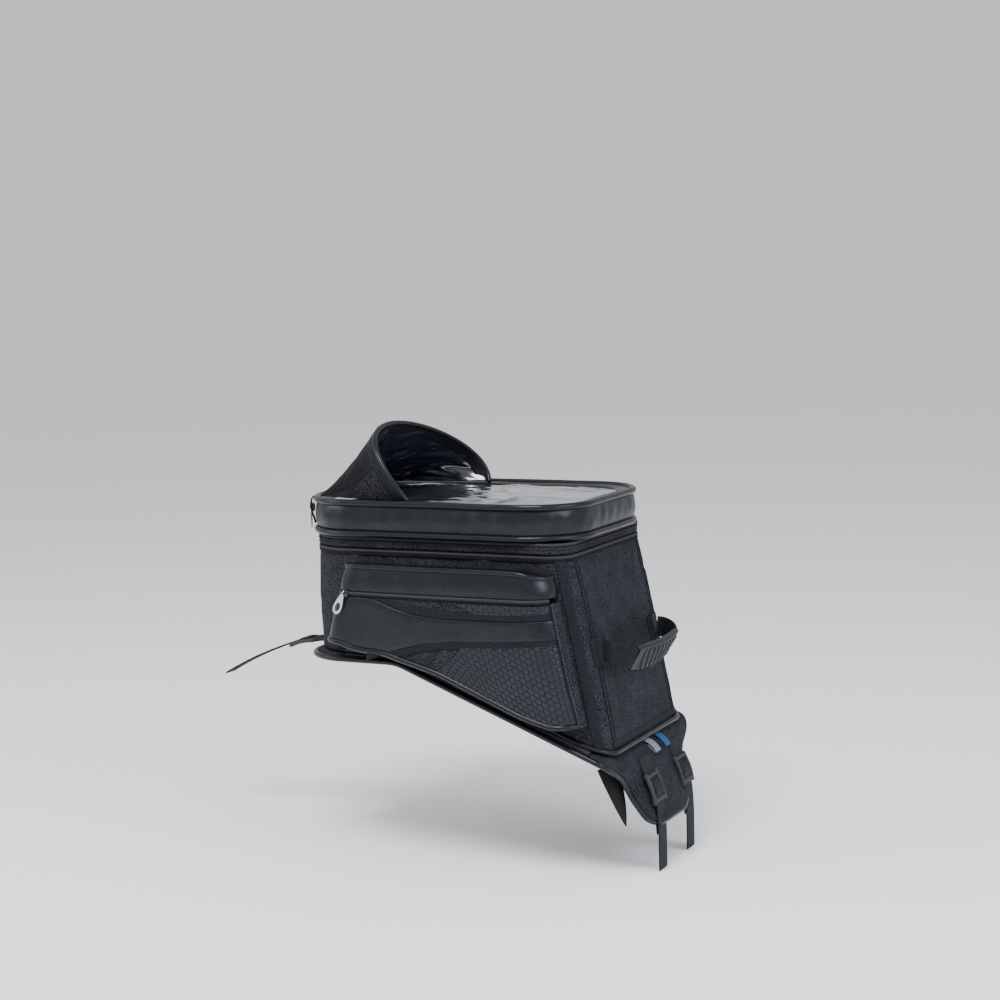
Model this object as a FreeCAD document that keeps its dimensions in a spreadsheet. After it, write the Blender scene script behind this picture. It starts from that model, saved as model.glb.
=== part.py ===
"""Motorcycle tank bag: a harness base, a bag that tips up from it, a lid with a map hood, two side pockets.

Millimetres. X is the rider's right, Y is forward, Z is up.
The origin is the centre of the base's level underside.
"""
import FreeCAD
import Part
import Sketcher
import math
import os

V = FreeCAD.Vector
doc = FreeCAD.newDocument("TankBag")
nodes = {}

# Driving dimensions: alias, value, what it is.
DIMENSIONS = [
    ("front_reach", 66, "origin to the bag's front wall"),
    ("level_reach", 62, "origin to either end of the level underside"),
    ("slope_angle", 21.5, "fall of the base towards the rider, degrees"),
    ("rear_lean", 12, "lean of the rear wall, degrees"),
    ("liner_thick", 1.5, "non-slip liner under the base"),
    ("pad_thick", 7.5, "padded base"),
    ("base_width", 262, "base across its wings"),
    ("base_corner", 58, "front corners of the base"),
    ("base_zip_wide", 5, "base zip beside the bag"),
    ("base_zip_high", 2.5, "base zip height"),
    ("apron_angle", 70, "fall of the rear apron, degrees"),
    ("apron_length", 80, "rear apron down its slope"),
    ("apron_width", 110, "rear apron across its lower edge"),
    ("seat_gap", 0.5, "clearance between bag and base"),
    ("body_width", 244, "bag across its side walls"),
    ("body_length", 339, "bag opening, front to rear"),
    ("body_top", 130, "top edge of the bag walls"),
    ("front_corner", 60, "bag's front corners"),
    ("rear_corner", 30, "bag's rear corners"),
    ("wall", 4, "padded fabric wall"),
    ("board_thick", 2, "stiff bottom board"),
    ("piping", 7.5, "cord piping diameter on the lid"),
    ("thin_piping", 6, "cord piping diameter on base and pockets"),
    ("coil_high", 5.7, "expansion zip coil height"),
    ("strip_high", 8.5, "collar strip height"),
    ("main_coil_high", 4, "main zip coil height"),
    ("skirt_high", 70, "folded gusset depth"),
    ("skirt_wall", 1.5, "gusset cloth, doubled"),
    ("slide_gap", 1.5, "clearance around the gusset"),
    ("lid_width", 253, "lid across its piping centres"),
    ("lid_length", 350, "lid along its piping centres"),
    ("lid_corner", 70, "lid corner radius at the piping"),
    ("lid_overhang", 4, "lid piping ahead of the front wall"),
    ("band_high", 36, "lid band between piping centres"),
    ("band_wall", 3.5, "lid band thickness"),
    ("panel_thick", 4, "lid top panel"),
    ("frame_thick", 2.5, "map window frame"),
    ("frame_border", 20, "map window frame width"),
    ("window_thick", 1, "clear map window"),
    ("pocket_depth", 36, "side pocket standing out from the wall"),
    ("pocket_wall", 2.5, "side pocket cloth"),
    ("pocket_top", 117, "top of the side pocket"),
    ("pocket_zip", 88, "side pocket zip height"),
    ("pocket_front", 12, "front end of the side pocket at mid height"),
    ("pocket_rake", 15, "rake of the pocket's front end, degrees"),
    ("pocket_rear", 17, "pocket's rear end ahead of the rear wall"),
    ("pocket_round", 6, "pocket's outer edges"),
    ("zip_band", 3, "half height of a visible zip tape"),
    ("trim_thick", 1.2, "smooth trim on the pocket face"),
    ("hood_width", 224, "hood mouth across its feet"),
    ("hood_rise", 96, "hood mouth from feet to crown, along its lean"),
    ("hood_lean", 36, "hood mouth lean from upright, degrees"),
    ("hood_feet", 140, "hood feet behind the lid's front edge"),
    ("hood_wall", 2, "hood cloth"),
    ("hood_tube", 7, "bound hood mouth diameter"),
    ("webbing_width", 25, "strap webbing"),
    ("webbing_thick", 2, "strap webbing"),
    ("handle_span", 168, "handle between its anchors"),
    ("handle_reach", 23, "handle grip out from its pivots"),
    ("handle_height", 24, "handle anchors above the level underside"),
    ("handle_sag", 30, "fall of the handle from its anchors, degrees"),
    ("anchor_wide", 30, "handle anchor patch across"),
    ("anchor_thick", 3, "handle anchor patch"),
    ("knuckle_long", 11, "folded webbing between anchor patch and handle"),
    ("knuckle_high", 10, "folded webbing height"),
    ("grip_length", 120, "moulded grip"),
    ("grip_high", 34, "moulded grip height"),
    ("grip_thick", 14, "moulded grip thickness"),
    ("strap_offset", 46, "rear straps from the centre line"),
    ("strap_drop", 68, "visible rear strap"),
    ("lock_width", 34, "ladder-lock across"),
    ("lock_length", 32, "ladder-lock along the strap"),
    ("lock_thick", 5, "ladder-lock thickness"),
    ("slot_long", 26, "ladder-lock slot"),
    ("slot_wide", 4, "ladder-lock slot width"),
    ("front_strap_run", 108, "front strap loop length"),
    ("front_strap_fall", 24, "front strap fall, degrees"),
    ("slider_long", 11, "zip slider along the zip"),
    ("slider_wide", 7.5, "zip slider across the zip"),
    ("slider_thick", 3.6, "zip slider thickness"),
    ("pull_long", 26, "zip pull length"),
    ("pull_wide", 10, "zip pull width"),
    ("pull_thick", 1.6, "zip pull thickness"),
    ("label_long", 20, "plain label tab"),
    ("label_wide", 14, "plain label tab width"),
    ("soft_gap", 0.3, "clearance between soft curved pieces"),
]

sheet = doc.addObject("Spreadsheet::Sheet", "Dims")
for row, (alias, value, meaning) in enumerate(DIMENSIONS, 1):
    sheet.set("A%d" % row, meaning)
    sheet.set("B%d" % row, str(value))
    sheet.setAlias("B%d" % row, alias)
doc.recompute()


def size(expression):
    """The value of an expression over the sheet's aliases, in millimetres."""
    found = sheet.evalExpression(expression)
    return float(getattr(found, "Value", found))


# Derived places, as expressions, so that every sketch stays bound to the sheet.
BASE_TOP = "(Dims.liner_thick + Dims.pad_thick)"
FLOOR = "(%s + Dims.seat_gap)" % BASE_TOP
FALL = "tan(Dims.slope_angle * 1 deg)"
LEAN = "tan(Dims.rear_lean * 1 deg)"
BREAK = "(2 - Dims.level_reach)"
REAR_TOP = "(Dims.front_reach - Dims.body_length)"
# The rear wall's line meets the sloping floor's line here.
REAR_LOW = "((%s - (Dims.body_top - %s + %s * %s) * %s) / (1 - %s * %s))" % (
    REAR_TOP, FLOOR, BREAK, FALL, LEAN, FALL, LEAN)
REAR_LOW_Z = "(%s + (%s - %s) * %s)" % (FLOOR, REAR_LOW, BREAK, FALL)
LID_CENTRE = "(Dims.front_reach + Dims.lid_overhang - Dims.lid_length / 2)"
COLLAR_LOW = "(Dims.body_top + Dims.soft_gap + Dims.coil_high + Dims.soft_gap)"
COIL_LOW = "(%s + Dims.strip_high)" % COLLAR_LOW
LOW_PIPE = "(%s + Dims.main_coil_high + Dims.soft_gap + Dims.piping / 2)" % COIL_LOW
HIGH_PIPE = "(%s + Dims.band_high)" % LOW_PIPE
PANEL_TOP = "(%s - Dims.piping / 2 - 0.1)" % HIGH_PIPE
FRAME_TOP = "(%s + Dims.frame_thick)" % PANEL_TOP
PIPE_SIDE = "(Dims.base_width / 2 + Dims.thin_piping / 2 + 0.1)"


def rear_wall(height):
    """The rear wall's outer face at a height."""
    return "(%s - (Dims.body_top - (%s)) * %s)" % (REAR_TOP, height, LEAN)


def floor_at(reach):
    """The height of the sloping floor at a reach behind the break."""
    return "(%s + ((%s) - %s) * %s)" % (FLOOR, reach, BREAK, FALL)


def body(name):
    """A new PartDesign body that becomes one node."""
    made = doc.addObject("PartDesign::Body", name)
    made.Label = name
    nodes[name] = made
    return made


def sketch(owner, role, offset="0", across="0"):
    """A sketch on one of the body's own origin planes, moved along the plane's normal and across it."""
    plane = [f for f in owner.Origin.OriginFeatures if f.Role == role][0]
    made = owner.newObject("Sketcher::SketchObject", owner.Name + "_sketch")
    made.AttachmentSupport = [(plane, "")]
    made.MapMode = "FlatFace"
    made.setExpression("AttachmentOffset.Base.z", offset)
    made.setExpression("AttachmentOffset.Base.y", across)
    return made


def bind(made, kind, first, point, expression):
    """Holds one point of a sketch at a bound distance from the sketch's origin."""
    index = made.addConstraint(Sketcher.Constraint(kind, -1, 1, first, point, size(expression)))
    made.setExpression("Constraints[%d]" % index, expression)


def outline(made, points):
    """A closed polygon whose corners are all bound to expressions."""
    spots = [V(size(a), size(b), 0) for a, b in points]
    first = made.GeometryCount
    count = len(spots)
    for k in range(count):
        made.addGeometry(Part.LineSegment(spots[k], spots[(k + 1) % count]), False)
    for k in range(count):
        made.addConstraint(Sketcher.Constraint("Coincident", first + k, 2, first + (k + 1) % count, 1))
    for k, (a, b) in enumerate(points):
        bind(made, "DistanceX", first + k, 1, a)
        bind(made, "DistanceY", first + k, 1, b)
    return made


def rectangle(made, wide, high, centre=("0", "0")):
    """A bound rectangle about a centre."""
    left, right = ["(%s) %s (%s) / 2" % (centre[0], sign, wide) for sign in "-+"]
    low, top = ["(%s) %s (%s) / 2" % (centre[1], sign, high) for sign in "-+"]
    return outline(made, [(left, low), (right, low), (right, top), (left, top)])


def rounded(made, wide, high, radius):
    """A bound rectangle with round corners, centred on the sketch's origin."""
    a, b, r = size(wide) / 2, size(high) / 2, size(radius)
    first = made.GeometryCount
    sides = [((-a + r, b), (a - r, b)), ((a, b - r), (a, -b + r)), ((a - r, -b), (-a + r, -b)),
             ((-a, -b + r), (-a, b - r))]
    for start, end in sides:
        made.addGeometry(Part.LineSegment(V(*start, 0), V(*end, 0)), False)
    centres = [((a - r, b - r), 0), ((a - r, -b + r), 270), ((-a + r, -b + r), 180), ((-a + r, b - r), 90)]
    for (x, y), start in centres:
        circle = Part.Circle(V(x, y, 0), V(0, 0, 1), r)
        low = math.radians(start)
        made.addGeometry(Part.ArcOfCircle(circle, low, low + math.pi / 2), False)
    for k in range(4):
        made.addConstraint(Sketcher.Constraint("Tangent", first + k, 2, first + 4 + k, 2))
        made.addConstraint(Sketcher.Constraint("Tangent", first + 4 + k, 1, first + (k + 1) % 4, 1))
        made.addConstraint(Sketcher.Constraint("Horizontal" if k % 2 == 0 else "Vertical", first + k))
        if k:
            made.addConstraint(Sketcher.Constraint("Equal", first + 4, first + 4 + k))
    index = made.addConstraint(Sketcher.Constraint("Radius", first + 4, r))
    made.setExpression("Constraints[%d]" % index, radius)
    bind(made, "DistanceY", first, 1, "(%s) / 2" % high)
    bind(made, "DistanceX", first + 1, 1, "(%s) / 2" % wide)
    bind(made, "DistanceY", first + 2, 1, "-(%s) / 2" % high)
    bind(made, "DistanceX", first + 3, 1, "-(%s) / 2" % wide)
    return made


def pad(owner, profile, length, both=False, back=False):
    """Pads a profile by a bound length, to one side or evenly to both."""
    made = owner.newObject("PartDesign::Pad", owner.Name + "_pad")
    made.Profile = profile
    made.setExpression("Length", length)
    made.SideType = "Symmetric" if both else "One side"
    made.Reversed = back
    doc.recompute()
    owner.Tip = made
    return made


def pocket(owner, profile, length, both=False, back=False):
    """Cuts a profile away, and checks that the cut removed something."""
    before = owner.Shape.Volume
    made = owner.newObject("PartDesign::Pocket", owner.Name + "_cut")
    made.Profile = profile
    made.setExpression("Length", length)
    made.SideType = "Symmetric" if both else "One side"
    made.Reversed = back
    doc.recompute()
    owner.Tip = made
    if made.Shape.Volume > before - 1e-6:
        raise RuntimeError("nothing was cut from " + owner.Label)
    return made


def fillet(owner, chosen, radius):
    """Rounds the edges of the last feature that a test picks out."""
    base = owner.Tip
    names = ["Edge%d" % (k + 1) for k, edge in enumerate(base.Shape.Edges) if chosen(edge)]
    made = owner.newObject("PartDesign::Fillet", owner.Name + "_fillet")
    made.Base = (base, names)
    made.setExpression("Radius", radius)
    doc.recompute()
    owner.Tip = made
    return made


def upright(edge, rear):
    """True on the standing corner edges at the front, or at the rear."""
    box = edge.BoundBox
    standing = box.ZLength > 20 and box.XLength < 0.1 and box.YLength < box.ZLength
    return standing and (box.Center.y < 0) == rear


# ---------------------------------------------------------------- harness base
APRON_TURN = "(%s - 4)" % REAR_LOW
APRON_DROP = "(Dims.apron_length * sin(Dims.apron_angle * 1 deg))"
APRON_RUN = "(Dims.apron_length * cos(Dims.apron_angle * 1 deg))"


def base_line(height):
    """Corners of the line that lies a height above the underside, front to rear."""
    shift = "(%s)" % height
    turn = "(%s + %s - %s)" % (APRON_TURN, "0.55 * %s" % BASE_TOP, "0.55 * %s" % shift)
    turn_z = "(%s + (%s - %s) * %s)" % (shift, turn, BREAK, FALL)
    return [("Dims.front_reach + 4", shift), (BREAK, shift), (turn, turn_z),
            ("%s - %s" % (turn, APRON_RUN), "%s - %s" % (turn_z, APRON_DROP))]


def base_layer(name, low, high):
    """One layer of the base: its side profile padded across, with round front corners and a narrow apron."""
    made = body(name)
    line = sketch(made, "YZ_Plane")
    outline(line, base_line(low) + base_line(high)[::-1])
    pad(made, line, "Dims.base_width", both=True)
    plan = sketch(made, "XY_Plane", "-500")
    half = "(Dims.base_width / 2)"
    for sign in ("", "-"):
        reach = "%s + 12" % APRON_TURN
        outline(plan, [
            ("%s(%s + 5)" % (sign, half), reach),
            ("%s%s" % (sign, half), reach),
            ("%s(Dims.apron_width / 2)" % sign, "%s - %s + 6" % (APRON_TURN, APRON_RUN)),
            ("%s(Dims.apron_width / 2)" % sign, "%s - 200" % APRON_TURN),
            ("%s(%s + 5)" % (sign, half), "%s - 200" % APRON_TURN)])
    pocket(made, plan, "1000", back=True)
    fillet(made, lambda e: e.BoundBox.XLength < 0.1 and e.BoundBox.YLength < 0.1
           and e.BoundBox.Center.y > size("Dims.front_reach"), "Dims.base_corner")
    return made


base_layer("base_liner", "0", "Dims.liner_thick")
base_layer("base_pad", "Dims.liner_thick", BASE_TOP)


def tube(name, role, points, diameter, offset="0"):
    """A round tube along a planar path of straight runs with rounded corners, swept by an additive pipe."""
    made = nodes.get(name) or body(name)
    path = sketch(made, role, offset)
    spots = [V(size(a), size(b), 0) for a, b in points]
    for k in range(len(spots) - 1):
        path.addGeometry(Part.LineSegment(spots[k], spots[k + 1]), False)
    for k in range(len(spots) - 2):
        path.addConstraint(Sketcher.Constraint("Coincident", k, 2, k + 1, 1))
    for k in range(len(spots) - 1):
        bind(path, "DistanceX", k, 1, points[k][0])
        bind(path, "DistanceY", k, 1, points[k][1])
    bind(path, "DistanceX", len(spots) - 2, 2, points[-1][0])
    bind(path, "DistanceY", len(spots) - 2, 2, points[-1][1])
    doc.recompute()
    ring = made.newObject("Sketcher::SketchObject", name + "_section")
    ring.AttachmentSupport = [(path, "Edge1")]
    ring.MapMode = "NormalToEdge"
    index = ring.addGeometry(Part.Circle(V(0, 0, 0), V(0, 0, 1), size(diameter) / 2), False)
    ring.addConstraint(Sketcher.Constraint("Coincident", index, 3, -1, 1))
    held = ring.addConstraint(Sketcher.Constraint("Diameter", index, size(diameter)))
    ring.setExpression("Constraints[%d]" % held, diameter)
    doc.recompute()
    pipe = made.newObject("PartDesign::AdditivePipe", name + "_pipe")
    pipe.Profile = ring
    pipe.Spine = (path, ["Edge%d" % (k + 1) for k in range(len(spots) - 1)])
    pipe.Transition = "Round corner"
    doc.recompute()
    made.Tip = pipe
    return made


for side, sign in (("left", "-"), ("right", "")):
    edge_line = base_line("%s / 2" % BASE_TOP)
    tube("base_piping", "YZ_Plane",
         [("10", edge_line[0][1]), edge_line[1], ("%s + 12" % APRON_TURN, floor_at("%s + 12" % APRON_TURN)
                                                 + " - %s / 2 - 1" % BASE_TOP)],
         "Dims.thin_piping", sign + PIPE_SIDE)


def strip(name, points, width, spots):
    """Side-profile strips, each padded outward from its own place across the object."""
    made = body(name)
    for start, back in spots:
        line = sketch(made, "YZ_Plane", start)
        outline(line, points)
        pad(made, line, width, back=back)
    return made


ZIP_FRONT = "10"
zip_top = base_line("%s + Dims.base_zip_high" % BASE_TOP)
zip_low = base_line("%s + 0.05" % BASE_TOP)
zip_rear = "%s + 14" % REAR_LOW
strip("base_zip", [
    (ZIP_FRONT, zip_low[0][1]), zip_low[1], (zip_rear, floor_at(zip_rear) + " - Dims.seat_gap + 0.05"),
    (zip_rear, floor_at(zip_rear) + " - Dims.seat_gap + Dims.base_zip_high"), zip_top[1],
    (ZIP_FRONT, zip_top[0][1])], "Dims.base_zip_wide",
    [("Dims.body_width / 2 + 1", False), ("-Dims.body_width / 2 - 1", True)])


def tilted(owner, spot, turn):
    """A sketch whose x runs across the object, and whose y is turned up from the front by an angle."""
    made = sketch(owner, "XY_Plane", spot[1], spot[0])
    made.AttachmentOffset = FreeCAD.Placement(
        V(0, size(spot[0]), size(spot[1])), FreeCAD.Rotation(V(1, 0, 0), size(turn)))
    made.setExpression("AttachmentOffset.Rotation.Angle", "(%s) * 1 deg" % turn)
    return made


def plate(name, spot, turn, wide, high, thick, centre=("0", "0"), lift="0", slots=()):
    """A flat plate on a tilted plane, lifted off it along the normal, with cross slots cut through it."""
    made = body(name)
    face = tilted(made, spot, turn)
    rectangle(face, wide, high, centre)
    pad(made, face, "%s + %s" % (lift, thick))
    if lift != "0":
        under = tilted(made, spot, turn)
        rectangle(under, "%s + 2" % wide, "%s + 2" % high, centre)
        pocket(made, under, lift, back=True)
    for place in slots:
        hole = tilted(made, spot, turn)
        rectangle(hole, "Dims.slot_long", "Dims.slot_wide", (centre[0], "%s + %s" % (centre[1], place)))
        pocket(made, hole, "50", back=True)
    return made


# Rear tabs, ladder-locks and straps lie on the apron; their planes turn up by the apron's angle.
apron = base_line(BASE_TOP)
APRON_HEAD = apron[2]
lock_slots = ("Dims.lock_length / 4", "-Dims.lock_length / 4")
for side, sign in (("left", "-"), ("right", "")):
    across = "%sDims.strap_offset" % sign
    plate("rear_tab_" + side, APRON_HEAD, "Dims.apron_angle", "Dims.lock_width + 4", "Dims.apron_length - 22",
          "Dims.webbing_thick", (across, "-Dims.apron_length / 2 - 8"), "0.1")
    plate("rear_ladder_lock_" + side, APRON_HEAD, "Dims.apron_angle", "Dims.lock_width", "Dims.lock_length",
          "Dims.lock_thick", (across, "-Dims.apron_length / 2 - 8"), "Dims.webbing_thick + 0.3", lock_slots)
    strap = body("rear_strap_" + side)
    hang = sketch(strap, "YZ_Plane", across)
    strap_y = "%s - Dims.webbing_thick" % apron[3][0]
    strap_z = "%s + 6" % apron[3][1]
    outline(hang, [
        (strap_y, strap_z), ("%s - Dims.webbing_thick" % strap_y, strap_z),
        ("%s - Dims.webbing_thick" % strap_y, "%s - Dims.strap_drop" % strap_z),
        ("%s" % strap_y, "%s - Dims.strap_drop" % strap_z)])
    pad(strap, hang, "Dims.webbing_width", both=True)

# The loose tail of the underlay, seen below the left wing.
tail = body("underlay_tail")
tail_top = base_line("0")[2]
flap = tilted(tail, ("%s + 22" % tail_top[0], "%s + 3.5" % tail_top[1]), "68")
outline(flap, [("-104", "0"), ("-58", "0"), ("-58", "-40"), ("-82", "-92"), ("-98", "-62")])
pad(tail, flap, "Dims.webbing_thick", back=True)

# Front tab, ladder-lock and the doubled strap that goes down to the steering head.
FRONT = ("Dims.front_reach + 4", "Dims.liner_thick")
plate("front_tab", FRONT, "-4", "44", "46", "3", ("0", "23"), "0.1")
plate("front_ladder_lock", FRONT, "-8", "Dims.lock_width", "Dims.lock_length", "Dims.lock_thick", ("0", "66"),
      "0.1", lock_slots)
loop = body("front_strap")
run = sketch(loop, "YZ_Plane")
start_y, start_z = "(Dims.front_reach + 88)", "(Dims.liner_thick - 10)"
down, along = "sin(Dims.front_strap_fall * 1 deg)", "cos(Dims.front_strap_fall * 1 deg)"
high = "2 * Dims.webbing_thick"
outline(run, [
    (start_y, start_z), ("%s + Dims.front_strap_run * %s" % (start_y, along),
                         "%s - Dims.front_strap_run * %s" % (start_z, down)),
    ("%s + Dims.front_strap_run * %s" % (start_y, along),
     "%s - Dims.front_strap_run * %s + %s" % (start_z, down, high)),
    (start_y, "%s + %s" % (start_z, high))])
pad(loop, run, "Dims.webbing_width", both=True)

# ---------------------------------------------------------------- bag body
shell = body("body_shell")
wall_line = sketch(shell, "YZ_Plane")
outline(wall_line, [
    ("Dims.front_reach", FLOOR), (BREAK, FLOOR), (REAR_LOW, REAR_LOW_Z), (REAR_TOP, "Dims.body_top"),
    ("Dims.front_reach", "Dims.body_top")])
pad(shell, wall_line, "Dims.body_width", both=True)
fillet(shell, lambda e: upright(e, False), "Dims.front_corner")
fillet(shell, lambda e: upright(e, True), "Dims.rear_corner")
solid_bag = shell.Tip
solid_faces = solid_bag.Shape.Faces
top_face = max(range(len(solid_faces)), key=lambda k: solid_faces[k].CenterOfMass.z)
hollow = shell.newObject("PartDesign::Thickness", "hollow")
hollow.Base = (solid_bag, ["Face%d" % (top_face + 1)])
hollow.setExpression("Value", "Dims.wall")
hollow.Reversed = True
doc.recompute()
shell.Tip = hollow

board = body("bottom_board")
board_line = sketch(board, "YZ_Plane")
lift = "(%s + Dims.wall + 0.6)" % FLOOR
board_front = "(Dims.front_reach - 26)"
board_rear = "(%s + 40)" % REAR_LOW
outline(board_line, [
    (board_front, lift), (BREAK, lift), (board_rear, floor_at(board_rear) + " + Dims.wall + 0.6"),
    (board_rear, floor_at(board_rear) + " + Dims.wall + 0.6 + Dims.board_thick"),
    (BREAK, "%s + Dims.board_thick" % lift), (board_front, "%s + Dims.board_thick" % lift)])
pad(board, board_line, "Dims.body_width - 44", both=True)

SEAM = "(Dims.body_width / 2 + Dims.thin_piping / 2 + 0.1)"
seam_rear = "(%s + Dims.rear_corner)" % REAR_LOW
seam_lift = "Dims.thin_piping / 2 + 2.4"
for side, sign in (("left", "-"), ("right", "")):
    tube("bottom_piping_" + side, "YZ_Plane",
         [("Dims.front_reach - Dims.front_corner", "%s + %s" % (FLOOR, seam_lift)),
          (BREAK, "%s + %s" % (FLOOR, seam_lift)),
          (seam_rear, "%s + %s + 0.2" % (floor_at(seam_rear), seam_lift))], "Dims.thin_piping", sign + SEAM)
rear_pipe = "%s - Dims.thin_piping / 2 - 0.3" % rear_wall("%s + 7" % REAR_LOW_Z)
half_seam = "(Dims.body_width / 2 - Dims.rear_corner)"
tube("bottom_piping_rear", "XY_Plane", [("-" + half_seam, rear_pipe), (half_seam, rear_pipe)],
     "Dims.thin_piping", "%s + 7" % REAR_LOW_Z)
for name, place in (("label_grey", "-8"), ("label_blue", "24")):
    plate(name, ("%s - 0.4" % rear_wall("%s + 2" % REAR_LOW_Z), "%s + 2" % REAR_LOW_Z), "14",
          "Dims.label_wide", "Dims.label_long", "1.2", (place, "-Dims.label_long / 2"))


def ring(name, wide, long, radius, wall, low, high):
    """An upright band of cloth with round corners, about the lid's centre."""
    made = body(name)
    rounded(sketch(made, "XY_Plane", low, LID_CENTRE), wide, long, radius)
    pad(made, made.Group[-1], high)
    if wall:
        rounded(sketch(made, "XY_Plane", low, LID_CENTRE), "%s - 2 * %s" % (wide, wall),
                "%s - 2 * %s" % (long, wall), "%s - %s" % (radius, wall))
        pocket(made, made.Group[-1], "%s + 1" % high, back=True)
    return made


# The bag's own opening is centred a little behind the lid's centre.
MOUTH = "(Dims.front_reach - Dims.body_length / 2)"


def mouth_ring(name, inset, wall, low, high):
    """A band of the bag's opening, a set distance inside the outer wall."""
    made = body(name)
    for taken, cut in (("0", False), (wall, True)):
        line = sketch(made, "XY_Plane", low, MOUTH)
        rounded(line, "Dims.body_width - 2 * (%s + %s)" % (inset, taken),
                "Dims.body_length - 2 * (%s + %s)" % (inset, taken),
                "Dims.front_corner - (%s + %s)" % (inset, taken))
        if cut:
            pocket(made, line, "%s + 1" % high, back=True)
        else:
            pad(made, line, high)
    return made


SKIRT_INSET = "(Dims.wall + Dims.slide_gap)"
mouth_ring("expansion_zip", "0", "Dims.wall - 0.5", "Dims.body_top + 0.05", "Dims.coil_high")
mouth_ring("collar_band", "0", "Dims.wall + Dims.slide_gap + Dims.skirt_wall", COLLAR_LOW,
           "Dims.strip_high")
mouth_ring("main_zip", "0", "Dims.wall", "%s + 0.05" % COIL_LOW, "Dims.main_coil_high - 0.05")
mouth_ring("gusset_skirt", SKIRT_INSET, "Dims.skirt_wall", "%s - Dims.skirt_high" % COLLAR_LOW,
           "Dims.skirt_high")

# ---------------------------------------------------------------- lid
BAND_LOW = "(%s + Dims.piping / 2 + 0.1)" % LOW_PIPE
BAND_HIGH = "(Dims.band_high - Dims.piping - 0.2)"
ring("lid_band", "Dims.lid_width + 2", "Dims.lid_length + 2", "Dims.lid_corner + 1", "Dims.band_wall",
     BAND_LOW,
     BAND_HIGH)
ring("lid_panel", "Dims.lid_width + 1.6 - 2 * Dims.band_wall", "Dims.lid_length + 1.6 - 2 * Dims.band_wall",
     "Dims.lid_corner + 0.8 - Dims.band_wall", "", "%s - Dims.panel_thick" % PANEL_TOP, "Dims.panel_thick")
FRAME_EDGE = "(Dims.piping + 1)"
ring("map_window_frame", "Dims.lid_width - %s" % FRAME_EDGE, "Dims.lid_length - %s" % FRAME_EDGE,
     "Dims.lid_corner - %s / 2" % FRAME_EDGE, "Dims.frame_border", PANEL_TOP, "Dims.frame_thick")
WINDOW_EDGE = "(%s + 2 * Dims.frame_border + 0.4)" % FRAME_EDGE
ring("map_window", "Dims.lid_width - %s" % WINDOW_EDGE, "Dims.lid_length - %s" % WINDOW_EDGE,
     "Dims.lid_corner - %s / 2" % WINDOW_EDGE, "", PANEL_TOP, "Dims.window_thick")


def piping_ring(name, height):
    """A closed loop of piping around the lid."""
    made = body(name)
    path = sketch(made, "XY_Plane", height, LID_CENTRE)
    rounded(path, "Dims.lid_width", "Dims.lid_length", "Dims.lid_corner")
    doc.recompute()
    section = made.newObject("Sketcher::SketchObject", name + "_section")
    section.AttachmentSupport = [(path, "Edge1")]
    section.MapMode = "NormalToEdge"
    index = section.addGeometry(Part.Circle(V(0, 0, 0), V(0, 0, 1), size("Dims.piping / 2")), False)
    section.addConstraint(Sketcher.Constraint("Coincident", index, 3, -1, 1))
    held = section.addConstraint(Sketcher.Constraint("Diameter", index, size("Dims.piping")))
    section.setExpression("Constraints[%d]" % held, "Dims.piping")
    doc.recompute()
    pipe = made.newObject("PartDesign::AdditivePipe", name + "_pipe")
    pipe.Profile = section
    pipe.Spine = (path, ["Edge%d" % (k + 1) for k in range(8)])
    doc.recompute()
    made.Tip = pipe
    return made


piping_ring("lid_lower_piping", LOW_PIPE)
piping_ring("lid_top_piping", HIGH_PIPE)

# ---------------------------------------------------------------- map hood
FEET_Y = size("Dims.front_reach + Dims.lid_overhang - Dims.hood_feet")
FEET_Z = size("%s + Dims.hood_tube / 2 + Dims.soft_gap" % FRAME_TOP)
LEAN_FORWARD = math.radians(size("Dims.hood_lean"))


# The hood's arch is a cubic curve that leans to the left.
# Its two middle poles are shares of the half width and of the height.
LEFT_POLE = (-1.34, 1.84)
RIGHT_POLE = (1.43, 0.72)


def hood_arch(centre, rise, half_wide, high):
    """The hood's lopsided arch on a plane whose upward direction is given, as one edge from right to left."""
    curve = Part.BezierCurve()
    curve.setPoles([centre + V(half_wide * across, 0, 0) + rise * high * up
                    for across, up in ((1, 0), RIGHT_POLE, LEFT_POLE, (-1, 0))])
    return curve.toShape()


def hood_solid(inset, below, behind):
    """The space under the hood, ruled from a low front arch to the leaning mouth, and a depth below it."""
    rise = V(0, math.sin(LEAN_FORWARD), math.cos(LEAN_FORWARD))
    ahead = V(0, math.cos(LEAN_FORWARD), -math.sin(LEAN_FORWARD))
    mouth = V(0, FEET_Y, FEET_Z) + ahead * behind
    front = V(0, size("Dims.front_reach + Dims.lid_overhang - 16") - inset, FEET_Z)
    half = size("Dims.hood_width / 2")
    wires = []
    crown = size("Dims.hood_rise")
    for centre, way, wide, high in ((front, V(0, 0, 1), half - 22, 9), (mouth, rise, half, crown)):
        arch = hood_arch(centre, way, wide - inset, high - inset)
        right_foot, left_foot = arch.Vertexes[0].Point, arch.Vertexes[-1].Point
        turns = [left_foot, left_foot - way * below, right_foot - way * below, right_foot]
        if not below:
            turns = [left_foot, right_foot]
        wires.append(Part.Wire([arch] + [Part.makeLine(a, b) for a, b in zip(turns, turns[1:])]))
    return Part.makeLoft(wires, True, True)


def feature(name, shape):
    """A node whose shape is made by Part's own functions from the sheet's sizes."""
    made = doc.addObject("Part::Feature", name)
    made.Label = name
    made.Shape = shape
    nodes[name] = made
    return made


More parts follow.
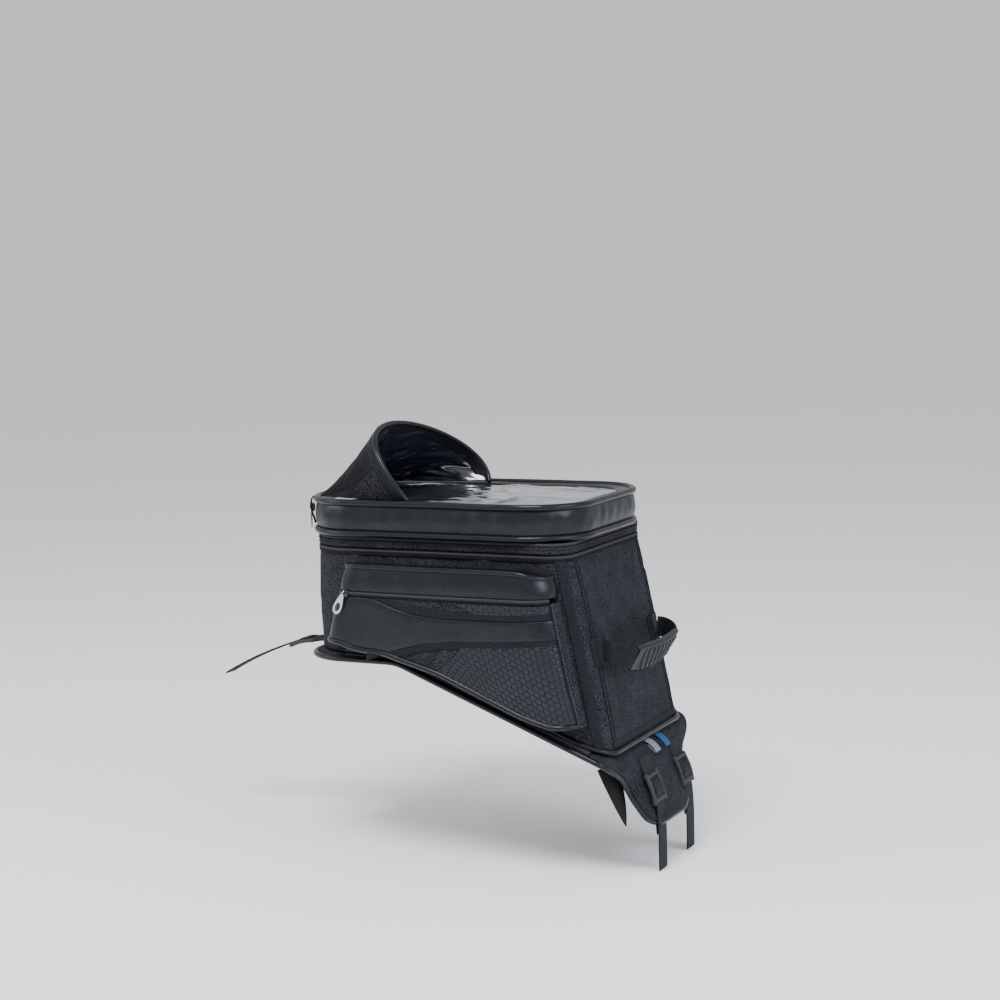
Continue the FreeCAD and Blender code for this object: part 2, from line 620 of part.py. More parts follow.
hood_wall, hood_tube = size("Dims.hood_wall"), size("Dims.hood_tube")
liner_out = hood_wall + 0.9
start = hood_tube / 2 + 0.2
feature("hood_shell", hood_solid(0, 0, start).cut(hood_solid(hood_wall, 3, start - 1)))
feature("hood_liner", hood_solid(liner_out, 0, start).cut(hood_solid(liner_out + 0.8, 3, start - 1)))
mouth_edge = hood_arch(V(0, FEET_Y, FEET_Z), V(0, math.sin(LEAN_FORWARD), math.cos(LEAN_FORWARD)),
                       size("Dims.hood_width / 2"), size("Dims.hood_rise"))
mouth_start = mouth_edge.valueAt(mouth_edge.FirstParameter)
mouth_way = mouth_edge.tangentAt(mouth_edge.FirstParameter)
mouth_circle = Part.Wire([Part.makeCircle(hood_tube / 2, mouth_start, mouth_way)])
feature("hood_mouth_binding", Part.Wire([mouth_edge]).makePipeShell([mouth_circle], True, False))

# ---------------------------------------------------------------- side pockets
def pocket_end(height):
    """The raked front end of a side pocket at a height."""
    return "(Dims.pocket_front - ((%s) - 50) * tan(Dims.pocket_rake * 1 deg))" % height


def pocket_tail(height):
    """The rear end of a side pocket at a height."""
    return "(%s + Dims.pocket_rear)" % rear_wall(height)


# The pocket's lower edge: share of the bag's length behind its front, and height above the floor there.
LOWER_EDGE = [(0.195, 22), (0.271, 13), (0.425, 14), (0.578, 20), (0.867, 15), (0.975, 18)]


def share(part):
    """The reach at a share of the bag's length behind its front wall."""
    return "(Dims.front_reach - %s * Dims.body_length)" % part


def lower_edge(shift):
    """The pocket's lower edge from the front, moved straight up by a shift."""
    found = []
    for part, above in LOWER_EDGE:
        reach = share(part)
        ground = FLOOR if size(reach) > size(BREAK) else floor_at(reach)
        found.append((reach, "%s + %s + %s" % (ground, above, shift)))
    return found


def pocket_slice(name, side, points, inner):
    """A hollow slice of a side pocket, open towards the bag's wall."""
    made = body(name)
    right = side == "right"
    place = "%s(Dims.body_width / 2 + Dims.soft_gap)" % ("" if right else "-")
    line = sketch(made, "YZ_Plane", place)
    outline(line, points)
    pad(made, line, "Dims.pocket_depth", back=not right)
    face = size("Dims.body_width / 2 + Dims.soft_gap + Dims.pocket_depth")
    open_edges = {"pocket_lid": lambda z: z > size("Dims.pocket_zip + Dims.zip_band") + 1,
                  "pocket_shell": lambda z: z < size("Dims.pocket_zip - Dims.zip_band") - 1}
    for kind, test in open_edges.items():
        if kind in name:
            fillet(made, lambda e: abs(abs(e.BoundBox.Center.x) - face) < 0.1 and e.BoundBox.XLength < 0.1
                   and test(e.BoundBox.Center.z), "Dims.pocket_round")
    cut = sketch(made, "YZ_Plane", place)
    outline(cut, inner)
    pocket(made, cut, "Dims.pocket_depth - Dims.pocket_wall", back=right)
    return made


ZIP_LOW = "(Dims.pocket_zip - Dims.zip_band)"
ZIP_HIGH = "(Dims.pocket_zip + Dims.zip_band)"
cloth = "Dims.pocket_wall"
TAIL_LOW = "-46"
for side, sign in (("left", "-"), ("right", "")):
    low_line = lower_edge("0")
    low_inner = lower_edge(cloth)
    nose = (pocket_end("50"), "50")
    pocket_slice(side + "_pocket_shell", side,
                 [(pocket_end(ZIP_LOW), ZIP_LOW), nose] + low_line + [(pocket_tail(TAIL_LOW), TAIL_LOW),
                                                                      (pocket_tail(ZIP_LOW), ZIP_LOW)],
                 [("%s - %s" % (pocket_end(ZIP_LOW), cloth), "%s + 5" % ZIP_LOW),
                  ("%s - 1.2 * %s" % (nose[0], cloth), "51")]
                 + [("%s - 0.5 * %s" % (y, cloth) if k == 0 else y, z) for k, (y, z) in enumerate(low_inner)]
                 + [("%s + 1.2 * %s" % (pocket_tail(TAIL_LOW), cloth), "%s + %s" % (TAIL_LOW, cloth)),
                    ("%s + %s" % (pocket_tail(ZIP_LOW), cloth), "%s + 5" % ZIP_LOW)])
    for name, low, high, open_top in (("_pocket_zip", ZIP_LOW + " + 0.05", ZIP_HIGH + " - 0.1", True),
                                      ("_pocket_lid", ZIP_HIGH, "Dims.pocket_top", False)):
        low, high = "(%s)" % low, "(%s)" % high
        over = "%s + 5" % high if open_top else "%s - %s" % (high, cloth)
        pocket_slice(side + name, side,
                     [(pocket_end(low), low), (pocket_end(high), high), (pocket_tail(high), high),
                      (pocket_tail(low), low)],
                     [("%s - %s" % (pocket_end(low), cloth), "%s - 5" % low),
                      ("%s - 1.2 * %s" % (pocket_end(high), cloth), over),
                      ("%s + 1.2 * %s" % (pocket_tail(high), cloth), over),
                      ("%s + %s" % (pocket_tail(low), cloth), "%s - 5" % low)])
    top_x = "(Dims.body_width / 2 + Dims.pocket_depth - Dims.pocket_round)"
    top_z = "Dims.pocket_top + Dims.thin_piping / 2 + 0.05"
    tube(side + "_pocket_top_piping", "YZ_Plane", [
        ("%s - 6" % pocket_end("Dims.pocket_top"), top_z),
        ("%s + 6" % pocket_tail("Dims.pocket_top"), top_z)], "Dims.thin_piping", sign + top_x)
    low_x = "(Dims.body_width / 2 + Dims.pocket_depth - Dims.pocket_round - 4)"
    drop = "-(Dims.thin_piping / 2 + 0.7)"
    tube(side + "_pocket_bottom_piping", "YZ_Plane",
         lower_edge(drop)[1:] + [(pocket_tail(TAIL_LOW), "%s + %s" % (TAIL_LOW, drop))],
         "Dims.thin_piping", sign + low_x)
    trim = body(side + "_pocket_trim")
    face_x = "%s(Dims.body_width / 2 + Dims.soft_gap + Dims.pocket_depth + 0.05)" % sign
    swoosh = sketch(trim, "YZ_Plane", face_x)
    tail_high, tail_low = "(%s + 9)" % pocket_tail("70"), "(%s + 9)" % pocket_tail("50")
    outline(swoosh, [
        ("%s - 8" % pocket_end("82"), "83"), ("%s - 8" % pocket_end("52"), "52"), (share(0.236), "38"),
        (share(0.289), "31"), (share(0.401), "29"), (share(0.555), "37"), (share(0.811), "41"),
        (tail_low, "50"), (tail_high, "70"), (share(0.814), "65"), (share(0.593), "63"),
        (share(0.442), "72"), (share(0.348), "83")])
    pad(trim, swoosh, "Dims.trim_thick", back=side == "left")

# ---------------------------------------------------------------- carry handle
anchors = body("handle_anchors")
for sign in ("-", ""):
    patch = sketch(anchors, "YZ_Plane", "%sDims.handle_span / 2" % sign)
    low, high = "(Dims.handle_height - 17)", "(Dims.handle_height + 17)"
    outline(patch, [
        ("%s - 0.2" % rear_wall(low), low), ("%s - 0.2" % rear_wall(high), high),
        ("%s - 0.05 - Dims.anchor_thick" % rear_wall(high), high),
        ("%s - 0.05 - Dims.anchor_thick" % rear_wall(low), low)])
    pad(anchors, patch, "Dims.anchor_wide", both=True)
    fold = sketch(anchors, "YZ_Plane", "%sDims.handle_span / 2" % sign)
    half = "Dims.knuckle_high / 2"
    root_y = "(%s - Dims.anchor_thick)" % rear_wall("Dims.handle_height")
    outline(fold, [
        ("%s + 1.7" % root_y, "Dims.handle_height - " + half),
        ("%s + 1.7" % root_y, "Dims.handle_height + " + half),
        ("%s - Dims.knuckle_long" % root_y, "Dims.handle_height + " + half),
        ("%s - Dims.knuckle_long" % root_y, "Dims.handle_height - " + half)])
    pad(anchors, fold, "2 * Dims.webbing_thick", both=True)

HANDLE_Y = "(%s - Dims.knuckle_long - 1)" % root_y
HANDLE = (HANDLE_Y, "Dims.handle_height")
webbing = body("handle_webbing")
thick = "1.5 * Dims.webbing_thick"
for sign in ("-", ""):
    bend = tilted(webbing, HANDLE, "Dims.handle_sag")
    grip_end, root = "Dims.grip_length / 2 + 0.1", "Dims.handle_span / 2"
    outline(bend, [
        ("%s(%s)" % (sign, grip_end), "-Dims.handle_reach - %s / 2" % thick),
        ("%s(%s + 6)" % (sign, grip_end), "-Dims.handle_reach - %s / 2" % thick),
        ("%s(%s + 2)" % (sign, root), "-6"), ("%s(%s - 2)" % (sign, root), "-6"),
        ("%s(%s + 3)" % (sign, grip_end), "-Dims.handle_reach + %s / 2" % thick),
        ("%s(%s)" % (sign, grip_end), "-Dims.handle_reach + %s / 2" % thick)])
    pad(webbing, bend, "Dims.webbing_width + 2", both=True)
grip = body("handle_grip")
rectangle(tilted(grip, HANDLE, "Dims.handle_sag"), "Dims.grip_length", "Dims.grip_thick",
          ("0", "-Dims.handle_reach"))
pad(grip, grip.Group[-1], "Dims.grip_high", both=True)
fillet(grip, lambda e: e.BoundBox.XLength > size("Dims.grip_length") - 1, "Dims.grip_thick / 4")


# ---------------------------------------------------------------- zip sliders and pulls
def facing(owner, spot, turn, lean=0):
    """A sketch on an upright plane that faces a compass turn about Z; its y is up, leant by an angle."""
    made = owner.newObject("Sketcher::SketchObject", owner.Name + "_sketch")
    made.AttachmentSupport = [([f for f in owner.Origin.OriginFeatures if f.Role == "XY_Plane"][0], "")]
    made.MapMode = "FlatFace"
    c, s = math.cos(math.radians(turn)), math.sin(math.radians(turn))
    upright_turn = FreeCAD.Rotation(V(-s, c, 0), V(0, 0, 1), V(c, s, 0), "ZXY")
    lean_turn = FreeCAD.Rotation(V(c, s, 0), lean)
    made.AttachmentOffset = FreeCAD.Placement(V(*[size(v) for v in spot]), lean_turn.multiply(upright_turn))
    for axis, value in zip("xyz", spot):
        made.setExpression("AttachmentOffset.Base." + axis, value)
    return made


def zip_end(name, spot, turn, lean=0, upright_run=False):
    """A zip slider standing off a face, and the tapered pull with an oval eye that hangs from it."""
    c, s = math.cos(math.radians(turn)), math.sin(math.radians(turn))
    slider = body(name + "_slider")
    sizes = ("Dims.slider_wide", "Dims.slider_long")[::1 if upright_run else -1]
    rectangle(facing(slider, spot, turn), *sizes)
    pad(slider, slider.Group[-1], "Dims.slider_thick")
    tag = body(name + "_pull")
    out = "(Dims.slider_thick + 0.4)"
    hang = ("%s + %s * %f" % (spot[0], out, c), "%s + %s * %f" % (spot[1], out, s), spot[2])
    plan = facing(tag, hang, turn, lean)
    outline(plan, [
        ("-0.28 * Dims.pull_wide", "2"), ("-Dims.pull_wide / 2", "4 - Dims.pull_long"),
        ("-0.3 * Dims.pull_wide", "2 - Dims.pull_long"), ("0.3 * Dims.pull_wide", "2 - Dims.pull_long"),
        ("Dims.pull_wide / 2", "4 - Dims.pull_long"), ("0.28 * Dims.pull_wide", "2")])
    pad(tag, plan, "Dims.pull_thick")
    eye = facing(tag, hang, turn, lean)
    index = eye.addGeometry(Part.Circle(V(0, -size("Dims.pull_long") + 9, 0), V(0, 0, 1),
                                        size("Dims.pull_wide * 0.27")), False)
    bind(eye, "DistanceX", index, 3, "0")
    bind(eye, "DistanceY", index, 3, "9 - Dims.pull_long")
    held = eye.addConstraint(Sketcher.Constraint("Radius", index, size("Dims.pull_wide * 0.27")))
    eye.setExpression("Constraints[%d]" % held, "Dims.pull_wide * 0.27")
    pocket(tag, eye, "20", back=True)


POCKET_FACE = "(Dims.body_width / 2 + Dims.soft_gap + Dims.pocket_depth + 0.2)"
SLIDER_Z = "(Dims.pocket_zip - 0.5)"
zip_end("left_pocket", ("-" + POCKET_FACE, "%s - 14" % pocket_end(SLIDER_Z), SLIDER_Z), 180, -25)
zip_end("right_pocket", (POCKET_FACE, "%s - 14" % pocket_end(SLIDER_Z), SLIDER_Z), 0)
zip_end("expansion", ("40", "Dims.front_reach + 0.2", "Dims.body_top + Dims.coil_high / 2"), 90)
zip_end("base", ("Dims.body_width / 2 + 1.2 + Dims.base_zip_wide", "-2",
                 "%s + Dims.slider_wide / 2 + 0.4" % BASE_TOP), 0, 90)

# The main zip's end turns up the lid's front left corner, in a small garage.
GARAGE_TURN = 116
turn_c, turn_s = math.cos(math.radians(GARAGE_TURN)), math.sin(math.radians(GARAGE_TURN))


def at_corner(out):
    """A place outside the lid band's front left corner, a distance out from the piping's centre line."""
    return ("-(Dims.lid_width / 2 - Dims.lid_corner) + (Dims.lid_corner + %s) * %f" % (out, turn_c),
            "%s + Dims.lid_length / 2 - Dims.lid_corner + (Dims.lid_corner + %s) * %f"
            % (LID_CENTRE, out, turn_s))


garage = body("zip_garage")
garage_mid = "(%s + Dims.band_high / 2)" % LOW_PIPE
rectangle(facing(garage, at_corner("1.1") + (garage_mid,), GARAGE_TURN), "11",
          "Dims.band_high - Dims.piping - 2")
pad(garage, garage.Group[-1], "1.6")
zip_end("main", at_corner("2.9") + ("%s + 7" % garage_mid,), GARAGE_TURN, upright_run=True)

doc.recompute()
os.makedirs("parts", exist_ok=True)
for thing in doc.Objects:
    if "Invalid" in thing.State or "Error" in thing.State:
        raise RuntimeError("failed: %s %s" % (thing.Name, thing.State))
for name, thing in nodes.items():
    if thing.Shape.isNull() or not thing.Shape.isValid() or not thing.Shape.Solids:
        raise RuntimeError("no valid shape: " + name)
for name, thing in nodes.items():
    thing.Shape.exportStep("parts/%s.step" % name)
print(len(nodes), "nodes written")
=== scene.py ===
"""Looks for a motorcycle tank bag: cloth, pipings, zips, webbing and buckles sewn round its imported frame.

Everything is in the frame's own axes: X to the right, Y forward, Z up. Sizes in this file are in millimetres.
"""
import math

import bmesh
import bpy
import numpy as np
from bpy.props import FloatProperty, FloatVectorProperty, IntProperty, PointerProperty
from mathutils import Matrix, Vector


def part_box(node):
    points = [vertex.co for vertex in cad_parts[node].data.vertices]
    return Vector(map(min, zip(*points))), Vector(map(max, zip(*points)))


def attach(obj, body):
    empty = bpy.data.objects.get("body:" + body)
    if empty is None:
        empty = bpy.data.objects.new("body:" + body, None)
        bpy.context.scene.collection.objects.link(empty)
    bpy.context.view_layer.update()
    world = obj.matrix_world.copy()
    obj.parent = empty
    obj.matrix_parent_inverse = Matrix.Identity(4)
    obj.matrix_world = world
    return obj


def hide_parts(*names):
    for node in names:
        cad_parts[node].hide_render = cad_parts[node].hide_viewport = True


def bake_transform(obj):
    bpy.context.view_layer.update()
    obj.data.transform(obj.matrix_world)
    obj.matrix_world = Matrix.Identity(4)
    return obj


bl_info = {
    "name": "Tank bag looks",
    "version": (1, 0, 0),
    "blender": (4, 5, 0),
    "location": "3D View > Sidebar > Tank bag",
    "description": "Builds the cloth, trims and fittings of a motorcycle tank bag round its frame",
    "category": "Object",
}

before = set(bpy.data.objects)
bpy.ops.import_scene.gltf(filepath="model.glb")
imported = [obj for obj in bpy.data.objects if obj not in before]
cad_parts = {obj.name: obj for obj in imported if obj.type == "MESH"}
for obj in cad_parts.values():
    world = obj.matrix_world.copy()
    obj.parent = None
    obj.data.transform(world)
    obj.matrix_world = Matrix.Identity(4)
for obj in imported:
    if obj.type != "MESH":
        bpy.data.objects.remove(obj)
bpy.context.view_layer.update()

MM = 0.001
BODY_HALF, BODY_FRONT, BODY_REAR, BODY_TOP = 122.0, 66.0, -273.0, 130.0
REAR_LEAN = math.tan(math.radians(12))
BODY_ROUND = 30.0
FLOOR_RISE, FLOOR_BREAK, FLOOR_FALL, FLOOR_BEND = 9.5, -60.0, 0.3939, 14.0
LID_HALF, LID_MID, LID_DEEP, LID_CORNER = 126.5, -105.0, 175.0, 70.0
LID_LOW, LID_TOP = 152.85, 188.85
HOOD_HALF, HOOD_LEAN = 112.0, math.radians(36)
HOOD_POLES = ((-112.0, 0.0), (-150.0, 170.0), (160.0, 66.3), (112.0, 0.0))
HOOD_FEET = np.array([0.0, -70.0, 191.3])
HOOD_FRONT = np.array([0.0, 54.0, 191.3])
BASE_HALF, BASE_FRONT = 131.0, 70.0
BASE_SLOPE, APRON_SLOPE = math.radians(21.5), math.radians(70)
BASE_BREAK = 130.0
APRON_START = BASE_BREAK + 284.2
BASE_LONG = APRON_START + 79.6
BODY_CORNER = 60
POCKET_FRONT, POCKET_RAKE_AT, POCKET_RAKE = 12, 50, math.tan(math.radians(15))
POCKET_FRONT_ROUND, POCKET_REAR_ROUND, POCKET_REAR = 17.0, 30.0, 17
POCKET_DEPTH, POCKET_GAP, POCKET_LOWEST = 36.0, 0.3, -52
POCKET_ZIP = 88.0
COIL_PITCH, SEAM_PITCH = 1.5, 4.4
FLOOR_LEVEL = -233.5
CAMERA_BACK, CAMERA_TARGET = Vector((-0.8926, -0.4374, 0.1097)), Vector((0.0, -0.105, 0.189))
CAMERA_FAR, CAMERA_ROLL = 2.395, math.radians(-1.47)
CAMERA_SHIFT = 0.02465, -0.00714


# ---------------------------------------------------------------- colours and shader nodes
def tone(code):
    """sRGB hex to a shader socket's linear colour: ((c + 0.055) / 1.055) ** 2.4 above 0.04045."""
    parts = [int(code[i:i + 2], 16) / 255 for i in (1, 3, 5)]
    return tuple(c / 12.92 if c <= 0.04045 else ((c + 0.055) / 1.055) ** 2.4 for c in parts) + (1.0,)


def add(tree, kind, links=None, **settings):
    """Adds one shader node with its settings; links gives its inputs, each a value or a node's socket."""
    made = tree.nodes.new("ShaderNode" + kind)
    for name, value in settings.items():
        setattr(made, name, value)
    for key, value in (links or {}).items():
        if isinstance(value, bpy.types.NodeSocket):
            tree.links.new(value, made.inputs[key])
        else:
            made.inputs[key].default_value = value
    return made


def finish(name, surface):
    """A material called name: surface(tree) gives the principled shader's inputs. Made once, then reused."""
    found = bpy.data.materials.get(name)
    if found:
        return found
    made = bpy.data.materials.new(name)
    made.use_nodes = True
    tree = made.node_tree
    tree.nodes.clear()
    shader = add(tree, "BsdfPrincipled", surface(tree))
    add(tree, "OutputMaterial", {"Surface": shader.outputs[0]})
    return made


def cloth_weave(tree, thread, slant=0.0):
    """Height of a plain weave, 0 to 1: warp and weft half-rounds swapped by a chequer of squares.
    The threads wander by up to a thread's width, as spun yarn does."""
    spot = add(tree, "Mapping", {"Vector": add(tree, "UVMap", uv_map="cloth").outputs[0],
                                 "Rotation": (0, 0, math.radians(slant))}).outputs[0]
    stray = add(tree, "TexNoise", {"Vector": spot, "Scale": 0.16, "Detail": 3.0}).outputs["Color"]
    stray = add(tree, "VectorMath", {0: stray, "Scale": 3.6 * thread}, operation="SCALE").outputs[0]
    spot = add(tree, "VectorMath", {0: spot, 1: stray}, operation="ADD").outputs[0]
    per_mm = 0.31416 / thread
    warp, weft = (add(tree, "TexWave", {"Vector": spot, "Scale": per_mm, "Distortion": 0.7, "Detail": 2.0,
                                        "Detail Scale": 1.2}, bands_direction=way).outputs["Fac"]
                  for way in ("X", "Y"))
    over = add(tree, "TexChecker", {"Vector": spot, "Scale": 1 / thread}).outputs["Fac"]
    return spot, add(tree, "Mix", {"Factor": over, 2: warp, 3: weft}, data_type="FLOAT").outputs[0]


def woven(name, dark, light, thread, rough, sheen, slant=0.0, depth=0.35):
    """A woven cloth: threads lighter on top than between, a painted highlight on the thread tops and painted
    shade between them, with a slow mottle and loose bright fibres.
    """
    def surface(tree):
        spot, height = cloth_weave(tree, thread, slant)
        mottle = add(tree, "TexNoise", {"Vector": spot, "Scale": 0.55, "Detail": 5.0,
                                        "Roughness": 0.85}).outputs["Fac"]
        patch = add(tree, "TexNoise", {"Vector": spot, "Scale": 0.035, "Detail": 3.0}).outputs["Fac"]
        # The colour follows the weave's height: painted highlight on the thread tops and painted shade
        # between the threads, mixed with random tone from the mottle and the slow patches.
        mixed = add(tree, "Math", {0: height, 1: mottle}, operation="MULTIPLY").outputs[0]
        thread_shading_and_mottle = add(tree, "Math", {0: mixed, 1: patch, 2: 0.0}, operation="MULTIPLY_ADD")
        tree.links.new(add(tree, "Math", {0: patch, 1: 0.22}, operation="MULTIPLY").outputs[0],
                       thread_shading_and_mottle.inputs[2])
        tree.links.new(add(tree, "Math", {0: mottle, 1: 1.15}, operation="MULTIPLY").outputs[0],
                       thread_shading_and_mottle.inputs[1])
        share = add(tree, "MapRange", {"Value": thread_shading_and_mottle.outputs[0], "From Min": 0.12,
                                       "From Max": 0.6}).outputs[0]
        colour = add(tree, "Mix", {"Factor": share, 6: tone(dark), 7: tone(light)},
                     data_type="RGBA").outputs[2]
        bump = add(tree, "Bump", {"Strength": depth, "Distance": 0.0012, "Height": height}).outputs[0]
        return {"Base Color": colour, "Roughness": rough, "Normal": bump, "Sheen Weight": sheen,
                "Sheen Roughness": 0.45, "Sheen Tint": tone("#8a92a6"), "Specular IOR Level": 0.15}
    return finish(name, surface)


def coated(name, dark, light, rough, grain, depth, coat=0.0):
    """A coated cloth pressed with a fine pebble grain, its tone and gloss drifting slowly."""
    def surface(tree):
        source = add(tree, "TexCoord").outputs["Object"]
        cells = add(tree, "TexVoronoi", {"Vector": source, "Scale": 1000 / grain}, feature="SMOOTH_F1")
        drift = add(tree, "TexNoise", {"Vector": source, "Scale": 26.0, "Detail": 3.0}).outputs["Fac"]
        fine = add(tree, "TexNoise", {"Vector": source, "Scale": 220.0, "Detail": 2.0}).outputs["Fac"]
        mixed = add(tree, "Math", {0: drift, 1: fine}, operation="MULTIPLY").outputs[0]
        share = add(tree, "MapRange", {"Value": mixed, "From Min": 0.12, "From Max": 0.42}).outputs[0]
        colour = add(tree, "Mix", {"Factor": share, 6: tone(dark), 7: tone(light)},
                     data_type="RGBA").outputs[2]
        gloss = add(tree, "MapRange", {"Value": drift, "From Min": 0.3, "From Max": 0.7,
                                       "To Min": rough + 0.06, "To Max": rough - 0.06}).outputs[0]
        bump = add(tree, "Bump", {"Strength": depth, "Distance": 0.0006,
                                  "Height": cells.outputs["Distance"]}).outputs[0]
        return {"Base Color": colour, "Roughness": gloss, "Normal": bump, "Coat Weight": coat,
                "Coat Roughness": 0.3, "Specular IOR Level": 0.26}
    return finish(name, surface)


# Each woven cloth gives two colours: the dark one is the cloth in painted shade between its threads, the
# light one the painted highlight on the thread tops.
# Solution-dyed 1000-denier nylon: threads are 0.6 mm, drawn at 2.3 mm so that they show at this distance.
def nylon_cloth():
    return woven("woven_nylon_cloth", "#050608", "#44444e", 3.0, 0.85, 0.03, 45, 0.5)


def nylon_cloth_straight():
    return woven("woven_nylon_straight", "#040507", "#26272e", 2.7, 0.85, 0.03, 0, 0.4)


# Grosgrain binding: a tight ribbed tape, flatter and darker than the cloth beside it.
def grosgrain():
    return woven("grosgrain_tape", "#0b0c0f", "#262931", 1.7, 0.72, 0.05, 0, 0.25)


# Polyester zip tape: a matt, close weave.
def zip_cloth():
    return woven("polyester_zip_tape", "#060709", "#17191e", 1.5, 0.82, 0.04, 45, 0.25)


# Proofed polyester lining: smooth, dull, dark grey.
def lining():
    return woven("proofed_lining", "#15161a", "#30323a", 1.4, 0.75, 0.1, 0, 0.15)


# Polypropylene webbing: a ribbed band whose ribs are modelled, so that the weave is only a fine tooth.
def webbing():
    return woven("polypropylene_webbing", "#090a0d", "#2b2e36", 1.9, 0.64, 0.06, 45, 0.4)


# Polyurethane-coated polyester with a leather grain: satin, with broad soft highlights.
def leathercloth():
    return coated("grained_coated_cloth", "#070a0f", "#0f161e", 0.35, 1.7, 0.35, 0.1)


# The same coated cloth drawn over a cord: stretched, so smoother and a little glossier.
def cord_cloth():
    return coated("cord_covering", "#06090d", "#0d1218", 0.33, 2.4, 0.15, 0.1)


# Moulded nylon 6: satin black with a spark-eroded skin.
def moulded_nylon():
    return coated("moulded_nylon", "#08090c", "#121519", 0.4, 0.9, 0.3)


# Santoprene rubber: dull black, its tone drifting in slow patches.
def rubber():
    return coated("santoprene_rubber", "#0b0f13", "#1a2129", 0.46, 1.2, 0.3)


# Rubberised grip mesh on the underside.
def grip_mesh():
    return coated("rubberised_mesh", "#08090a", "#141517", 0.75, 3.2, 0.9)


def printed_tab(name, dark, light):
    """Satin-woven polyester tab in one colour; its dark and light tones are painted shade between the threads
    and painted highlight on their tops.
    """
    return woven(name, dark, light, 0.9, 0.5, 0.1, 0, 0.2)


def zinc(name, colour, rough, metallic, coat):
    """Die-cast zinc, plated or enamelled: fine casting ripple under a smooth skin."""
    def surface(tree):
        source = add(tree, "TexCoord").outputs["Object"]
        ripple = add(tree, "TexNoise", {"Vector": source, "Scale": 420.0, "Detail": 3.0}).outputs["Fac"]
        wear = add(tree, "MapRange", {"Value": ripple, "To Min": rough - 0.05,
                                      "To Max": rough + 0.1}).outputs[0]
        return {"Base Color": tone(colour), "Metallic": metallic, "Roughness": wear, "Coat Weight": coat,
                "Normal": add(tree, "Bump", {"Strength": 0.12, "Distance": 0.0004,
                                             "Height": ripple}).outputs[0]}
    return finish(name, surface)


def vinyl(name, dark, light, rough, coat_rough):
    """Plasticised clear PVC over a black cloth: the dark under-cloth seen through a high-gloss skin."""
    def surface(tree):
        spot = add(tree, "UVMap", uv_map="cloth").outputs[0]
        haze = add(tree, "TexNoise", {"Vector": spot, "Scale": 0.03, "Detail": 4.0,
                                      "Distortion": 0.8}).outputs["Fac"]
        scuff = add(tree, "TexNoise", {"Vector": spot, "Scale": 0.35, "Detail": 3.0}).outputs["Fac"]
        colour = add(tree, "Mix", {"Factor": haze, 6: tone(dark), 7: tone(light)},
                     data_type="RGBA").outputs[2]
        dull = add(tree, "MapRange", {"Value": scuff, "To Min": rough - 0.03,
                                      "To Max": rough + 0.05}).outputs[0]
        return {"Base Color": colour, "Roughness": dull, "Coat Weight": 1.0, "Coat Roughness": coat_rough,
                "IOR": 1.54, "Specular IOR Level": 0.6}
    return finish(name, surface)


def embossed():
    """Coated cloth pressed with six-sided cells; a point attribute is 1 in the pressed lines, which are
    painted near black as shade in the recesses and made less glossy.
    """
    def surface(tree):
        shaded_groove = add(tree, "Attribute", attribute_name="shaded_groove").outputs["Fac"]
        source = add(tree, "TexCoord").outputs["Object"]
        grain = add(tree, "TexNoise", {"Vector": source, "Scale": 900.0, "Detail": 2.0}).outputs["Fac"]
        drift = add(tree, "TexNoise", {"Vector": source, "Scale": 30.0, "Detail": 3.0}).outputs["Fac"]
        base = add(tree, "Mix", {"Factor": drift, 6: tone("#0b1017"), 7: tone("#18212c")},
                   data_type="RGBA").outputs[2]
        # Painted shade: the pressed lines are darkened to near black.
        colour = add(tree, "Mix", {"Factor": shaded_groove, 6: base, 7: tone("#040507")},
                     data_type="RGBA").outputs[2]
        gloss = add(tree, "MapRange", {"Value": shaded_groove, "To Min": 0.32, "To Max": 0.75}).outputs[0]
        return {"Base Color": colour, "Roughness": gloss, "Coat Weight": 0.1, "Coat Roughness": 0.3,
                "Specular IOR Level": 0.3,
                "Normal": add(tree, "Bump", {"Strength": 0.25, "Distance": 0.0005,
                                             "Height": grain}).outputs[0]}
    return finish("hexagon_embossed_cloth", surface)


def thread_dye(name, colour):
    """Bonded nylon sewing thread: a tight, slightly glossy twist."""
    def surface(tree):
        spot = add(tree, "TexCoord").outputs["Object"]
        twist = add(tree, "TexNoise", {"Vector": spot, "Scale": 900.0}).outputs["Fac"]
        deep = tuple(c * 0.5 for c in tone(colour)[:3]) + (1.0,)
        shade = add(tree, "Mix", {"Factor": twist, 6: deep, 7: tone(colour)}, data_type="RGBA").outputs[2]
        return {"Base Color": shade, "Roughness": 0.55}
    return finish(name, surface)


def black_thread():
    return thread_dye("black_thread", "#2c3038")


# ---------------------------------------------------------------- meshes from arrays
def lengths(points, axis):
    """Running length along one axis of a grid of points, starting at 0."""
    step = np.linalg.norm(np.diff(points, axis=axis), axis=-1)
    start = np.zeros_like(np.take(step, [0], axis=axis))
    return np.concatenate([start, np.cumsum(step, axis=axis)], axis=axis)


